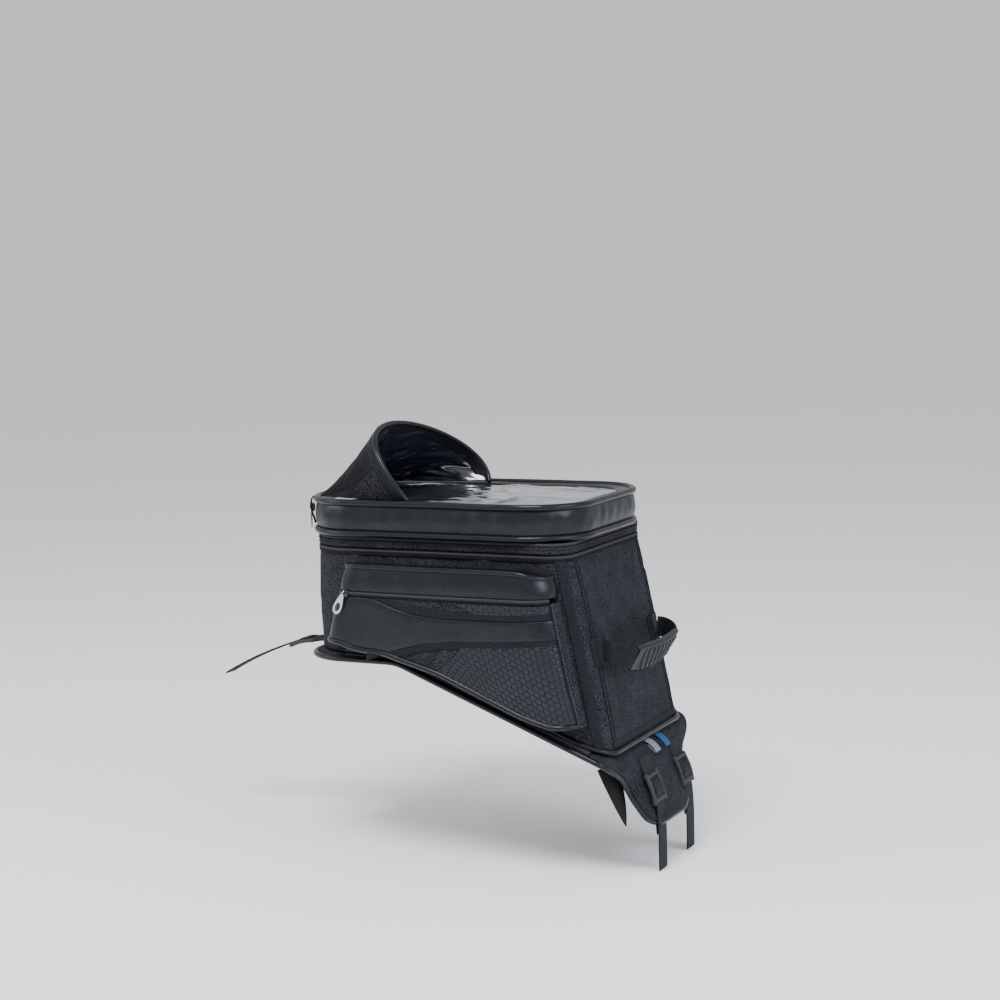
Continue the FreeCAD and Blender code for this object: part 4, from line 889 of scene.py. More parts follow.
class BAG_OT_hood(bpy.types.Operator):
    """Builds the map hood, a folding hood on the real bag, in its raised shape: top panel, side gussets,
    clear liner and bound mouth
    """
    bl_idname = "bag.hood"
    bl_label = "Hood"

    def execute(self, context):
        sizes = context.scene.bag_hood
        forward = np.array([0.0, math.cos(HOOD_LEAN), -math.sin(HOOD_LEAN)])

        def bent(piece, slot, *nodes):
            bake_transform(piece)
            if nodes:
                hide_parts(*nodes)

        v = np.linspace(0, 1, 44)[None]
        seam = math.pi - (0.05 + 0.33 * v)
        for name, low, high, cloth in (("hood_top_panel", math.pi - seam, seam, nylon_cloth_straight()),
                                       ("hood_gusset_left", seam, math.pi + 0 * v, nylon_cloth()),
                                       ("hood_gusset_right", 0 * v, math.pi - seam, nylon_cloth())):
            count = 120 if "top" in name else 30
            s = np.linspace(0, 1, count)[:, None]
            angle = low + (high - low) * s
            grid = hood_cloth(angle, v + 0 * s, 0.0, 6, 1.0)
            piece = surface_object(name, grid, cloth, wall=1.6, flip=True)
            bent(piece, "woven_cordura", *(["hood_shell"] if "top" in name else []))
        for tag, mirror in (("left", 1), ("right", -1)):
            line = seam[0] if mirror > 0 else math.pi - seam[0]
            rail = hood_cloth(line, v[0], -0.6, 6, 1.0)
            bent(surface_object("hood_seam_" + tag, swept(rail, circle(1.1, 8), (0.0, 0.0, 1.0),
                                                          round_ends=1.0),
                                grosgrain(), across=True, poles=True), "woven_cordura")
        angle = np.linspace(0, math.pi, 150)[:, None]
        inner_v = np.linspace(0, 0.985, 60)[None]
        grid = hood_cloth(angle + 0 * inner_v, inner_v + 0 * angle, 2.6, 61, sizes.crumple / MM)
        bent(surface_object("hood_liner_sheet", grid, vinyl("hood_pvc_liner", "#0b0e17", "#1c2233", 0.16,
                                                            0.06),
                            wall=0.5), "clear_vinyl", "hood_liner")
        tape_v = 1 - np.linspace(0, 1, 8)[None] * (sizes.tape / MM) / 100
        swell = 1.0 + 0.5 * np.sin(np.linspace(0, np.pi, 8))[None]
        grid = hood_cloth(angle + 0 * tape_v, tape_v + 0 * angle, 0.0, 6, 1.0)
        centre = np.stack([0 * angle + 0 * tape_v, grid[..., 1], np.full(grid.shape[:2], HOOD_FEET[2])], -1)
        way = (grid - centre) / np.linalg.norm(grid - centre, axis=-1, keepdims=True)
        bent(surface_object("hood_mouth_tape", grid + way * swell[..., None], grosgrain(), wall=1.0),
             "woven_cordura")
        inside = hood_cloth(angle + 0 * tape_v, tape_v + 0 * angle, 3.4, 61, 0.0)
        bent(surface_object("hood_mouth_facing", inside, grosgrain(), wall=0.8), "woven_cordura")
        path = arch(np.linspace(0, math.pi, 130), 0.8)
        tube = swept(path, circle(sizes.cord / MM / 2, 14), tuple(-forward), round_ends=2.5)
        place(surface_object("hood_mouth_cord", tube, cord_cloth(), across=True, poles=True), "hood",
              "cord_piping", "hood_mouth_binding")
        rows = grid[:, 6] + way[:, 6] * 1.6
        bent(stitched("hood_mouth_stitches", rows, way[:, 6], 4.0, black_thread()),
             "woven_cordura")
        return {"FINISHED"}


# ---------------------------------------------------------------- side pockets
def pocket_point(side, k, z, out=0.0, puff=1.0):
    """A point of a side pocket. k runs round its plan: 0 to 1 out of the wall at the front, 1 to 2 the front
    corner, 2 to 3 the long face, 3 to 4 the rear corner, 4 to 5 back to the wall. The face bellies by a sine
    of its length, the depth eases in towards the foot, and the ends lean as the body's rear wall does."""
    k, z = np.broadcast_arrays(np.asarray(k, float), np.asarray(z, float))
    front = POCKET_FRONT - (z - POCKET_RAKE_AT) * POCKET_RAKE
    rear = leaned(BODY_REAR, z) + POCKET_REAR
    f = np.clip(k - 2, 0, 1)
    depth = POCKET_DEPTH - 5.0 * ease((20 - z) / 90) - 2.4 * ease((z - 88) / 28)
    depth = depth + puff * (2.0 * np.sin(np.pi * f) * ease((z + 60) / 60))
    r_front, r_rear = POCKET_FRONT_ROUND, POCKET_REAR_ROUND
    a, b, c, d = (np.clip(k - i, 0, 1) for i in (0, 1, 3, 4))
    x = a * (depth - r_front) + r_front * np.sin(b * np.pi / 2) - r_rear * (1 - np.cos(c * np.pi / 2))
    x = x - d * (depth - r_rear)
    y = front - r_front * (1 - np.cos(b * np.pi / 2))
    face_front, face_rear = front - r_front, rear + r_rear
    y = np.where(k > 2, face_front + (face_rear - face_front) * f, y)
    y = np.where(k > 3, face_rear - r_rear * np.sin(c * np.pi / 2), y)
    nx = np.where(k < 1, 0, np.where(k < 2, np.sin(b * np.pi / 2),
                                     np.where(k < 3, 1, np.cos(c * np.pi / 2))))
    ny = np.where(k < 1, 1, np.where(k < 2, np.cos(b * np.pi / 2),
                                     np.where(k < 3, 0, -np.sin(c * np.pi / 2))))
    return np.stack([side * (BODY_HALF + POCKET_GAP + x + nx * out), y + ny * out, z + 0 * x], -1)


LOWER_EDGE = ((40, 23), (0, 22), (-26, 13.5), (-78, 14), (-130, 20), (-228, 15), (-274, 20), (-330, 26))
LOWER_LINE = sewn_line(LOWER_EDGE, 200)


def lower_edge(y):
    """Height of the pocket's foot at y: its height above the floor, eased between sewn points."""
    return floor_z(y) + LOWER_LINE(y)


def pocket_foot(side, k):
    """Height of the foot at plan position k, found as the fixed point of z = edge(y(k, z))."""
    z = np.zeros_like(np.asarray(k, float)) + 10
    for _ in range(12):
        z = 0.5 * z + 0.5 * lower_edge(pocket_point(side, k, z)[..., 1])
    return np.maximum(z, POCKET_LOWEST)


def pocket_top(k):
    """Height of the pocket's top seam: level along the face, dipping as it turns in at both ends."""
    k = np.asarray(k, float)
    return 118.6 - 5.5 * ease((1.7 - k) / 1.7) - 7.0 * ease((k - 2.82) / 0.9)


def outline_k(y, z):
    """Plan position on the long face at y and height z."""
    front = POCKET_FRONT - (z - POCKET_RAKE_AT) * POCKET_RAKE - POCKET_FRONT_ROUND
    rear = leaned(BODY_REAR, z) + POCKET_REAR + POCKET_REAR_ROUND
    return 2 + (y - front) / (rear - front)


def patch(side, low, high, out, k0, k1, nu, nv):
    """A patch on the pocket between two edges z = low(k) and z = high(k), in even steps of length along it.
    k0 may be a pair: where the patch starts on its lower and on its upper edge."""
    t = np.linspace(0, 1, nv)[None]
    plan = np.linspace(0, 5, 501)
    far = lengths(pocket_point(side, plan, 60.0)[:, None], 0)[:, 0]
    first, last = np.interp(np.broadcast_to(k0, 2), plan, far), np.interp(k1, plan, far)
    start = first[0] + (first[1] - first[0]) * t
    k = np.interp(start + (last - start) * np.linspace(0, 1, nu)[:, None], far, plan)
    z = low(k) + (high(k) - low(k)) * t
    return pocket_point(side, k + 0 * t, z, out)


def hexagons(a, b, pitch):
    """Share of the way from a six-sided cell's middle (0) to its edge (1), for cells with this pitch: the
    larger of three distances to the nearer of two interleaved lattices of centres."""
    best = None
    for da, db in ((0, 0), (0.5 * pitch * math.sqrt(3), 0.5 * pitch)):
        u = (a - da + 1e4 * pitch * math.sqrt(3)) % (pitch * math.sqrt(3))
        v = (b - db + 1e4 * pitch) % pitch
        u = np.minimum(u, pitch * math.sqrt(3) - u)
        v = np.minimum(v, pitch - v)
        reach = np.maximum(v, v * 0.5 + u * math.sqrt(3) / 2) / (pitch / 2)
        best = reach if best is None else np.minimum(best, reach)
    return best


class PocketSizes(bpy.types.PropertyGroup):
    """The side pockets' embossing and trims."""
    cell: FloatProperty(name="Embossed cell", description="Width across the flats of an embossed cell",
                        default=0.0076, unit="LENGTH")
    emboss: FloatProperty(name="Embossing depth", description="Depth of the lines between the cells",
                          default=0.0008, unit="LENGTH")
    piping: FloatProperty(name="Piping diameter", description="Diameter of the pockets' corded seams",
                          default=0.0062, unit="LENGTH")


TRIM_TOP = ((30, 84.5), (-44, 84), (-58, 80), (-76, 73.5), (-100, 67.5), (-135, 64), (-210, 64.5),
            (-300, 69))
TRIM_LOW = ((30, 14), (-14, 9), (-40, 10), (-58, 18), (-80, 26), (-110, 34), (-150, 39.5), (-209, 41.5),
            (-300, 49))


def along_face(side, edge):
    """An edge given over y, as heights over plan position k."""
    def height(k):
        z = np.full_like(np.asarray(k, float), 50.0)
        for _ in range(8):
            z = edge(pocket_point(side, k, z)[..., 1])
        return z
    return height


class BAG_OT_pockets(bpy.types.Operator):
    """Builds both side pockets: shell, embossed panels, trim, tapes, zip, padded lid and pipings"""
    bl_idname = "bag.pockets"
    bl_label = "Side pockets"

    def execute(self, context):
        for side, tag in ((-1, "left"), (1, "right")):
            self.pocket(context.scene.bag_pockets, side, tag)
        return {"FINISHED"}

    def pocket(self, sizes, side, tag):
        flip = side > 0
        bag = "bag"
        foot = lambda k: pocket_foot(side, k)
        black = black_thread()
        pale = thread_dye("slate_thread", "#6b7c92")

        k = np.r_[np.linspace(0, 1, 8), np.linspace(1, 2, 12)[1:], np.linspace(2, 3, 130)[1:],
                  np.linspace(3, 4, 26)[1:], np.linspace(4, 5, 8)[1:]][:, None]
        t = np.linspace(0, 1, 56)[None]
        low = foot(k)
        z = low + (85.2 - low) * t
        wall = pocket_point(side, k + 0 * t, z)
        crease = 0.5 * waves(wall[..., 1], wall[..., 2], 71 + side, 16, 70) * ((k > 1) & (k < 4))
        wall[..., 0] += side * crease
        tuck = wall[:, :1].copy()
        inward = np.linspace(0, 1, 7)[None, :-1, None]
        root = tuck.copy()
        root[..., 0] = side * (BODY_HALF + POCKET_GAP)
        under = root + (tuck - root) * inward
        grid = np.concatenate([under, wall], 1)
        place(surface_object("%s_pocket_cloth" % tag, grid, nylon_cloth(), flip=flip, wall=1.8,
                             inner=lining()),
              bag, "woven_cordura", "%s_pocket_shell" % tag)

        cell, deep = sizes.cell / MM, sizes.emboss / MM

        def hexed(name, low, high, k0, k1, nu, nv, out):
            grid = patch(side, low, high, out, k0, k1, nu, nv)
            a = -lengths(grid[::-1], 0)[::-1]
            reach = hexagons(a, grid[..., 2] * 1.02, cell)
            # 1 in the pressed lines: it presses them in, and the same mask paints them near black as shade.
            line = ease((reach - 0.74) / 0.18)
            lift = deep * (1 - line) * (1 - 0.35 * reach ** 2)
            grid[..., 0] += side * lift
            return surface_object(name, grid, embossed(), flip=flip, wall=0.7, spare={"shaded_groove": line})

        top_of_trim, foot_of_trim = (along_face(side, sewn_line(points,
                                                                330)) for points in (TRIM_TOP, TRIM_LOW))
        rear_k = 3.72
        low_panel = lambda k: foot(k) + 2.0
        high_panel = lambda k: np.maximum(foot_of_trim(k) - 6.5, foot(k) + 2.4)
        place(hexed("%s_pocket_lower_panel" % tag, low_panel, high_panel,
                    (outline_k(-128.0, 12.0), outline_k(-161.0, 35.0)), rear_k, 330, 150, 0.7), bag,
              "hex_embossed_cloth")
        place(hexed("%s_pocket_upper_panel" % tag, lambda k: top_of_trim(k) + 7.5, lambda k: 83.2 + 0 * k,
                    (outline_k(-178.0, 70.0), outline_k(-153.0,
                                                        82.0)), rear_k, 260, 26, 0.7), bag,
                                                        "hex_embossed_cloth")
        for name, low_line, high_line, k0 in (
                ("upper", lambda k: top_of_trim(k) + 0.5, lambda k: np.minimum(top_of_trim(k) + 8.5, 84),
                 2.17),
                ("lower", lambda k: np.maximum(foot_of_trim(k) - 8.5, foot(k) + 2),
                 lambda k: foot_of_trim(k) + 0.5,
                 2.17)):
            grid = patch(side, low_line, high_line, 1.0, k0, rear_k, 160, 8)
            place(surface_object("%s_pocket_%s_tape" % (tag, name), grid, grosgrain(), flip=flip, wall=0.6),
                  bag,
                  "woven_cordura")
        trim_low = lambda k: np.maximum(foot_of_trim(k), foot(k) + 2.2)
        trim_high = lambda k: np.minimum(top_of_trim(k), 84.4)
        grid = patch(side, trim_low, trim_high, 1.7, 1.05, rear_k, 300, 36)
        press = 0.8 * np.abs(np.linspace(-1, 1, 36))[None] ** 8
        grid[..., 0] -= side * press
        grid[..., 0] += side * 0.5 * waves(grid[..., 1], grid[..., 2], 90, 40, 150)
        place(surface_object("%s_pocket_trim_cloth" % tag, grid, leathercloth(), flip=flip, wall=0.9), bag,
              "smooth_leathercloth", "%s_pocket_trim" % tag)
        for row, name in ((1, "low"), (-2, "high")):
            out = np.array([side, 0, 0.0])
            line = grid[4:, row] + out * 0.15
            place(stitched("%s_trim_stitches_%s" % (tag, name), line, out, 3.4, black), bag,
                  "smooth_leathercloth")

        end_low, end_high = (lambda k: foot(k) + 1.5), (lambda k: 84.6 + 0 * k)
        grid = patch(side, end_low, end_high, 1.9, rear_k - 0.03, 4.0, 30, 70)
        grid[..., 0] += side * 0.4 * waves(grid[..., 1], grid[..., 2], 55, 12, 60)
        place(surface_object("%s_pocket_end_cloth" % tag, grid, nylon_cloth(), flip=flip, wall=1.0), bag,
              "woven_cordura")
        seam = grid[3, 1:-1]
        out = np.array([side * 1.0, 0, 0])
        place(stitched("%s_pocket_end_stitches" % tag, seam + out * 0.3, out, 3.3, pale, 1.25), bag,
              "woven_cordura")
        welt = swept(grid[0, 1:-1] + out * 0.1, circle(1.2, 8), out, round_ends=1.0)
        place(surface_object("%s_pocket_end_welt" % tag, welt, leathercloth(), across=True, poles=True),
              bag,
              "cord_piping")

        line_k = np.linspace(0.75, 4.1, 260)
        path = pocket_point(side, line_k, foot(line_k), -0.2)
        tube = swept(even(path, 2.2), circle(sizes.piping / MM / 2 + 0.2), round_ends=3.0)
        place(surface_object("%s_pocket_foot_cord" % tag, tube, cord_cloth(), across=True, poles=True),
              bag, "cord_piping", "%s_pocket_bottom_piping" % tag)

        zip_k = np.linspace(0.3, 3.7, 240)
        grid = np.stack([pocket_point(side, zip_k, np.full_like(zip_k, z), out) for z, out in
                         ((84.4, 0.9), (85.2, 1.2), (86.6, 0.1), (88.0, -0.2), (89.6, 0.1),
                          (91.0, 0.2))], 1)
        place(surface_object("%s_pocket_zip_tape" % tag, grid, zip_cloth(), flip=flip, wall=0.8), bag,
              "zip_tape",
              "%s_pocket_zip" % tag)
        line = pocket_point(side, zip_k, np.full_like(zip_k, POCKET_ZIP), 0.0)
        ahead = pocket_point(side, zip_k, np.full_like(zip_k, POCKET_ZIP), 1.0)
        place(coil(line, ahead - line, 3.6, 1.2, COIL_PITCH, "%s_pocket_zip_coil" % tag, moulded_nylon()),
              bag, "zip_tape")
        if flip:
            bpy.data.objects["%s_pocket_zip_coil" % tag].data.flip_normals()

        body = "%s_flap" % tag
        t = np.linspace(0, 1, 26)[None]
        top = pocket_top(k)
        z = 90.6 + (top - 90.6) * t
        crown = 1.6 * np.sin(np.pi * t) - 0.3
        grid = pocket_point(side, k + 0 * t, z, crown)
        grid[..., 0] += side * 0.6 * waves(grid[..., 1], grid[..., 2] * 1.5, 36 + side, 20,
                                           90) * np.sin(np.pi * t) * (
            (k > 1) & (k < 4))
        rim = grid[:, -1:].copy()
        root = rim.copy()
        root[..., 0] = side * (BODY_HALF + 0.4)
        inward = np.linspace(0, 1, 10)[None, 1:, None]
        cap = rim + (root - rim) * inward
        domed = np.sin(np.pi * np.clip(k / 5, 0, 1)) ** 0.5
        cap[..., 2] += 2.2 * np.sin(np.linspace(0, np.pi, 10))[None, 1:] * domed
        place(surface_object("%s_pocket_lid_cloth" % tag, np.concatenate([grid, cap], 1), leathercloth(),
                             flip=flip,
                             wall=1.6, inner=lining()), body, "smooth_leathercloth", "%s_pocket_lid" % tag)
        line_k = np.linspace(1.0, 4.05, 260)
        path = pocket_point(side, line_k, pocket_top(line_k) + 0.6, -1.2)
        tube = swept(even(path, 2.2), circle(sizes.piping / MM / 2), round_ends=3.0)
        place(surface_object("%s_pocket_top_cord" % tag, tube, cord_cloth(), across=True, poles=True), body,
              "cord_piping", "%s_pocket_top_piping" % tag)


# ---------------------------------------------------------------- harness base
def base_profile(s):
    """The base's underside along its middle, from the front edge back: level, then falling as the floor does,
    then the steep apron, each change of slope eased over a short arc. Returns y, z and the slope."""
    s = np.asarray(s, float)
    fine = np.linspace(0, 520, 1041)
    angle = BASE_SLOPE * ease((fine - BASE_BREAK + 14) / 28) + (APRON_SLOPE - BASE_SLOPE) * ease(
        (fine - APRON_START + 16) / 32)
    y = BASE_FRONT - np.r_[0, np.cumsum(np.cos(angle[:-1]) * np.diff(fine))]
    z = -np.r_[0, np.cumsum(np.sin(angle[:-1]) * np.diff(fine))]
    return np.interp(s, fine, y), np.interp(s, fine, z), np.interp(s, fine, angle)


APRON_EDGE = ((401, 131), (410, 122), (420, 106), (430, 92), (440, 86), (455, 79), (472, 66), (485, 55),
              (494, 46))


def base_half(s):
    """Half width of the base along its length: a rounded front, full width, then the tapering apron."""
    s = np.asarray(s, float)
    d = np.clip(58 - s, 0, 58)
    half = BASE_HALF - 58 + np.sqrt(np.clip(58 ** 2 - d * d, 0, None))
    fine = np.arange(380, 510.0)
    half = np.where(s > 392, np.interp(s, fine, softened(APRON_EDGE, fine, 6)), half)
    tip = np.clip((s - (BASE_LONG - 16)) / 16, 0, 1)
    return half - 26 * (1 - np.sqrt(1 - tip ** 2))


def base_drift(s):
    """How far the apron's middle has drifted to the left where its straps pull it."""
    return -13 * ease((np.asarray(s, float) - 440) / 54)


def base_point(x, s, rise):
    """A point above the base's underside: x across, s along it, rise along its upward normal."""
    y, z, a = base_profile(s)
    rise = rise - 16 * (np.asarray(x, float) / 100) ** 2 * ease((s - 398) / 50)
    return np.stack(np.broadcast_arrays(x, y - rise * np.sin(a), z + rise * np.cos(a)), -1)


def slab(low, high, inset, count_s=230):
    """A closed pad over the base's outline between two rises: superellipses shrinking at both ends."""
    s = np.linspace(0, 1, count_s)
    s = inset + (BASE_LONG - 2 * inset) * s
    end = np.clip(np.minimum(s - inset, BASE_LONG - inset - s) / 5.0, 0, 1)
    thin = np.sqrt(np.clip(1 - (1 - end) ** 2, 0, 1))
    a = np.arange(90) * 2 * np.pi / 90
    c, d = np.cos(a), np.sin(a)
    x = np.sign(c) * np.abs(c) ** 0.25 * (base_half(s) - inset)[:, None] + base_drift(s)[:, None]
    rise = (low + high) / 2 + np.sign(d) * np.abs(d) ** 0.45 * (high - low) / 2 * thin[:, None]
    return base_point(x, s[:, None], rise)


class BaseSizes(bpy.types.PropertyGroup):
    """The harness base."""
    piping: FloatProperty(name="Piping diameter", description="Diameter of the corded edge of the base",
                          default=0.0064, unit="LENGTH")
    pad: FloatProperty(name="Pad thickness", description="Thickness of the foam base", default=0.0074,
                       unit="LENGTH")


class BAG_OT_base(bpy.types.Operator):
    """Builds the harness base: foam pad, grip underlay, corded edge, zip and the pointed tail"""
    bl_idname = "bag.base"
    bl_label = "Harness base"

    def execute(self, context):
        sizes = context.scene.bag_base
        pad = surface_object("base_foam_pad", slab(1.5, 1.5 + sizes.pad / MM, 1.0), nylon_cloth(),
                             across=True,
                             poles=True, flip=True)
        place(pad, "harness", "woven_cordura", "base_pad")
        place(surface_object("base_grip_underlay", slab(0.0, 1.9, 4.0), grip_mesh(), across=True,
                             poles=True,
                             flip=True), "harness", "grip_underlay", "base_liner")
        s = np.linspace(1.0, BASE_LONG - 1.0, 420)
        half = base_half(s) + 1.2
        left = base_point(base_drift(s) - half, s, 4.4)
        right = base_point(base_drift(s) + half, s, 4.4)[::-1]
        loop = even(np.concatenate([left, right]), 2.6, closed=True)
        y, z, a = base_profile(np.interp(-loop[:, 1], -base_profile(np.linspace(0, 494, 700))[0],
                                         np.linspace(0, 494, 700)))
        up = np.stack([0 * a, -np.sin(a), np.cos(a)], -1)
        tube = swept(loop, circle(sizes.piping / MM / 2), up, closed=True)
        place(surface_object("base_edge_cord", tube, cord_cloth(), around=True, across=True), "harness",
              "cord_piping", "base_piping")
        for side, tag in ((-1, "left"), (1, "right")):
            y = np.linspace(8, -300, 260)
            z = floor_z(y) + 0.2
            line = np.stack([np.full_like(y, side * 126.4), y, z], -1)
            tilt = np.array([side * 0.75, 0.0, 0.66])
            flat = swept(line, band(8.0, 1.2), tilt, round_ends=1.0)
            place(surface_object("base_zip_tape_" + tag, flat, zip_cloth(), across=True, poles=True),
                  "harness",
                  "zip_tape", *(["base_zip"] if side < 0 else []))
            place(coil(line + tilt * 0.5, tilt, 3.6, 1.2, 1.6, "base_zip_coil_" + tag, moulded_nylon()),
                  "harness",
                  "zip_tape")
        place(self.tail(), "harness", "grip_underlay", "underlay_tail")
        return {"FINISHED"}

    def tail(self):
        """The dark point of underlay that hangs past the apron's left edge: a tapering leaf."""
        t = np.linspace(0, 1, 40)[:, None]
        s = np.linspace(-1, 1, 16)[None]
        top, tip = np.array([-98.0, -309.0, -104.0]), np.array([-80.0, -324.0, -177.0])
        middle = top + (tip - top) * t[..., None]
        wide = 13.0 * (1 - t ** 1.6) ** 0.8 + 0.4
        across = np.array([0.86, -0.45, 0.25])
        bow = np.array([-0.5, -0.8, 0.1]) * (3.0 * np.sin(np.pi * t) + 1.2 * np.cos(s * 2))[..., None]
        grid = middle + across * (s * wide)[..., None] + bow
        return surface_object("underlay_point", grid, grip_mesh(), wall=1.6)


# ---------------------------------------------------------------- straps, buckles and tabs
def ribbed_band(path, wide, thick, up, name, material, pitch=2.4, rib=0.18, count=14):
    """A webbing band with cross ribs: the section's thickness swings by rib every pitch along the path."""
    spots = even(path, pitch / 4)
    swing = 1 + rib * np.cos(np.arange(len(spots)) * np.pi / 2)
    flat = band(wide, thick, count * 2)
    sections = np.repeat(flat[None], len(spots), 0)
    sections[..., 1] *= swing[:, None]
    grid = swept(spots, sections, spread(up, len(spots)))
    close = np.concatenate([grid[:1].mean(1, keepdims=True) + 0 * grid[:1], grid,
                            grid[-1:].mean(1, keepdims=True) + 0 * grid[-1:]])
    return surface_object(name, close, material, across=True, poles=True)


def ladder_lock(name, centre, across, down, out, wide, long):
    """A moulded ladder buckle: two side rails and three bars, each a rounded bar swept straight, joined in
    one mesh. across, down and out are its unit axes."""
    centre, across, down, out = (np.asarray(v, float) for v in (centre, across, down, out))
    parts = []
    for sign in (-1, 1):
        x = sign * (wide / 2 - 2.2)
        run = np.linspace(-long / 2, long / 2, 14)[:, None]
        arch_up = 1.6 * np.cos(run / long * np.pi)
        path = centre + across * x + down * run + out * arch_up
        parts.append(swept(path, band(4.4, 4.8, 16, 3.0), out, round_ends=2.0))
    for y, thick, lift in ((-long / 2 + 2.4, 4.4, 0.6), (0.5, 3.6, 2.4), (long / 2 - 2.8, 5.2, 1.2)):
        run = np.linspace(-wide / 2 + 2.5, wide / 2 - 2.5, 10)[:, None]
        path = centre + across * run + down * y + out * lift
        parts.append(swept(path, band(thick, 3.8, 16, 3.0), out))
    points, faces, start = [], [], 0
    for grid in parts:
        nu, nv = grid.shape[:2]
        i, j = np.meshgrid(np.arange(nu - 1), np.arange(nv), indexing="ij")
        quad = np.stack([i * nv + j, (i + 1) * nv + j, (i + 1) * nv + (j + 1) % nv, i * nv + (j + 1) % nv],
                        -1)
        faces.append(quad.reshape(-1, 4) + start)
        points.append(grid.reshape(-1, 3))
        start += nu * nv
    mesh = bpy.data.meshes.new(name)
    mesh.from_pydata((np.concatenate(points) * MM).tolist(), [], np.concatenate(faces).tolist())
    mesh.uv_layers.new(name="cloth")
    return object_from(mesh, name, moulded_nylon(), poles=True)


class BAG_OT_straps(bpy.types.Operator):
    """Builds the front and rear straps with their sewn tabs and ladder buckles"""
    bl_idname = "bag.straps"
    bl_label = "Straps and buckles"

    def execute(self, context):
        down = np.array([0.0, -math.cos(APRON_SLOPE), -math.sin(APRON_SLOPE)])
        out = np.array([0.0, -math.sin(APRON_SLOPE), math.cos(APRON_SLOPE)])
        for side, tag in ((-1, "left"), (1, "right")):
            x = side * 46.0
            start = np.array([x, -330.5, -104.0])
            tab = np.stack([start + out * 1.4, start + down * 12 + out * 2.0, start + down * 26 + out * 3.2,
                            start + down * 34 + out * 5.0])
            place(ribbed_band(smooth_path(tab), 30, 2.4, out, "rear_tab_webbing_" + tag, webbing()),
                  "harness",
                  "webbing", "rear_tab_%s" % tag)
            lock = np.array([x, -342.8, -139.4]) + out * 4.4
            place(ladder_lock("rear_buckle_" + tag, lock, (1, 0, 0), down, out, 35, 33), "harness",
                  "moulded_nylon", "rear_ladder_lock_%s" % tag)
            hang = np.array([(x, -343.5, -129.0), (x, -350.0, -133.5), (x, -353.0, -141.0),
                             (x, -351.0, -149.0),
                             (x, -353.0, -158.0), (x, -354.8,
                                                   -180.0), (x, -355.0, -208.0), (x, -354.8, -232.0)])
            place(ribbed_band(smooth_path(hang), 25, 1.9, (0, -1, 0.3), "rear_strap_webbing_" + tag,
                              webbing()),
                  "harness", "webbing", "rear_strap_%s" % tag)
            inner = np.array([(x, -345.5, -148.0), (x, -347.0, -154.0), (x, -349.0, -163.0),
                              (x, -351.5, -176.0),
                              (x, -352.5, -190.0)])
            place(ribbed_band(smooth_path(inner), 24, 1.9, (0, -1, 0.3), "rear_strap_return_" + tag,
                              webbing()),
                  "harness", "webbing")
        tab = np.array([(0, 60, 2.5), (0, 80, 2.6), (0, 104, 1.6), (0, 116, -0.8)])
        place(ribbed_band(smooth_path(tab), 40, 2.4, (0, 0, 1), "front_tab_webbing", webbing()), "harness",
              "webbing", "front_tab")
        place(ladder_lock("front_buckle", (0, 135, -4.6), (1, 0, 0), (0, 0.97, -0.24), (0, 0.24, 0.97), 35,
                          33),
              "harness", "moulded_nylon", "front_ladder_lock")
        strap = np.array([(0, 128, 0.5), (0, 136, 0.8), (0, 146, -4.5), (0, 158, -8), (0, 185, -18),
                          (0, 215, -31),
                          (0, 240, -44), (0, 252, -51)])
        place(ribbed_band(smooth_path(strap), 25, 2.0, (0, 0.3, 1), "front_strap_webbing", webbing()),
              "harness",
              "webbing", "front_strap")
        return {"FINISHED"}


class BAG_OT_labels(bpy.types.Operator):
    """Builds the two folded woven tabs at the rear hem, plain and without any print"""
    bl_idname = "bag.labels"
    bl_label = "Plain tabs"

    def execute(self, context):
        # Each tab's two tones: painted shade between its threads and painted highlight on their tops.
        for node, x, dark, light in (("label_grey", -8.0, "#60666e", "#989fa7"),
                                     ("label_blue", 24.0, "#0d3a5c", "#1f6a96")):
            low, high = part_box(node)
            z = (low.z + high.z) / 2 / MM
            path = np.array([(x, -321.0, z + 0.5), (x, -328.5, z - 2.5), (x, -335.5, z - 9.5),
                             (x, -337.0, z - 12.5),
                             (x, -335.5, z - 13.0), (x, -327.0, z - 5.5), (x, -321.0, z - 2.0)])
            grid = swept(smooth_path(path, 1.0), band(15, 0.9, 20), (0.0, -0.5, 1.0))
            place(surface_object(node + "_tab", grid, printed_tab(node + "_satin", dark, light),
                                 across=True,
                                 poles=True), "bag", node, node)
        return {"FINISHED"}


# ---------------------------------------------------------------- handle
class HandleSizes(bpy.types.PropertyGroup):
    """The carrying handle."""
    ribs: IntProperty(name="Grip ribs", description="Slanted ribs moulded on the grip's outside", default=9)
    webbing: FloatProperty(name="Webbing width", description="Width of the handle's webbing", default=0.025,
                           unit="LENGTH")


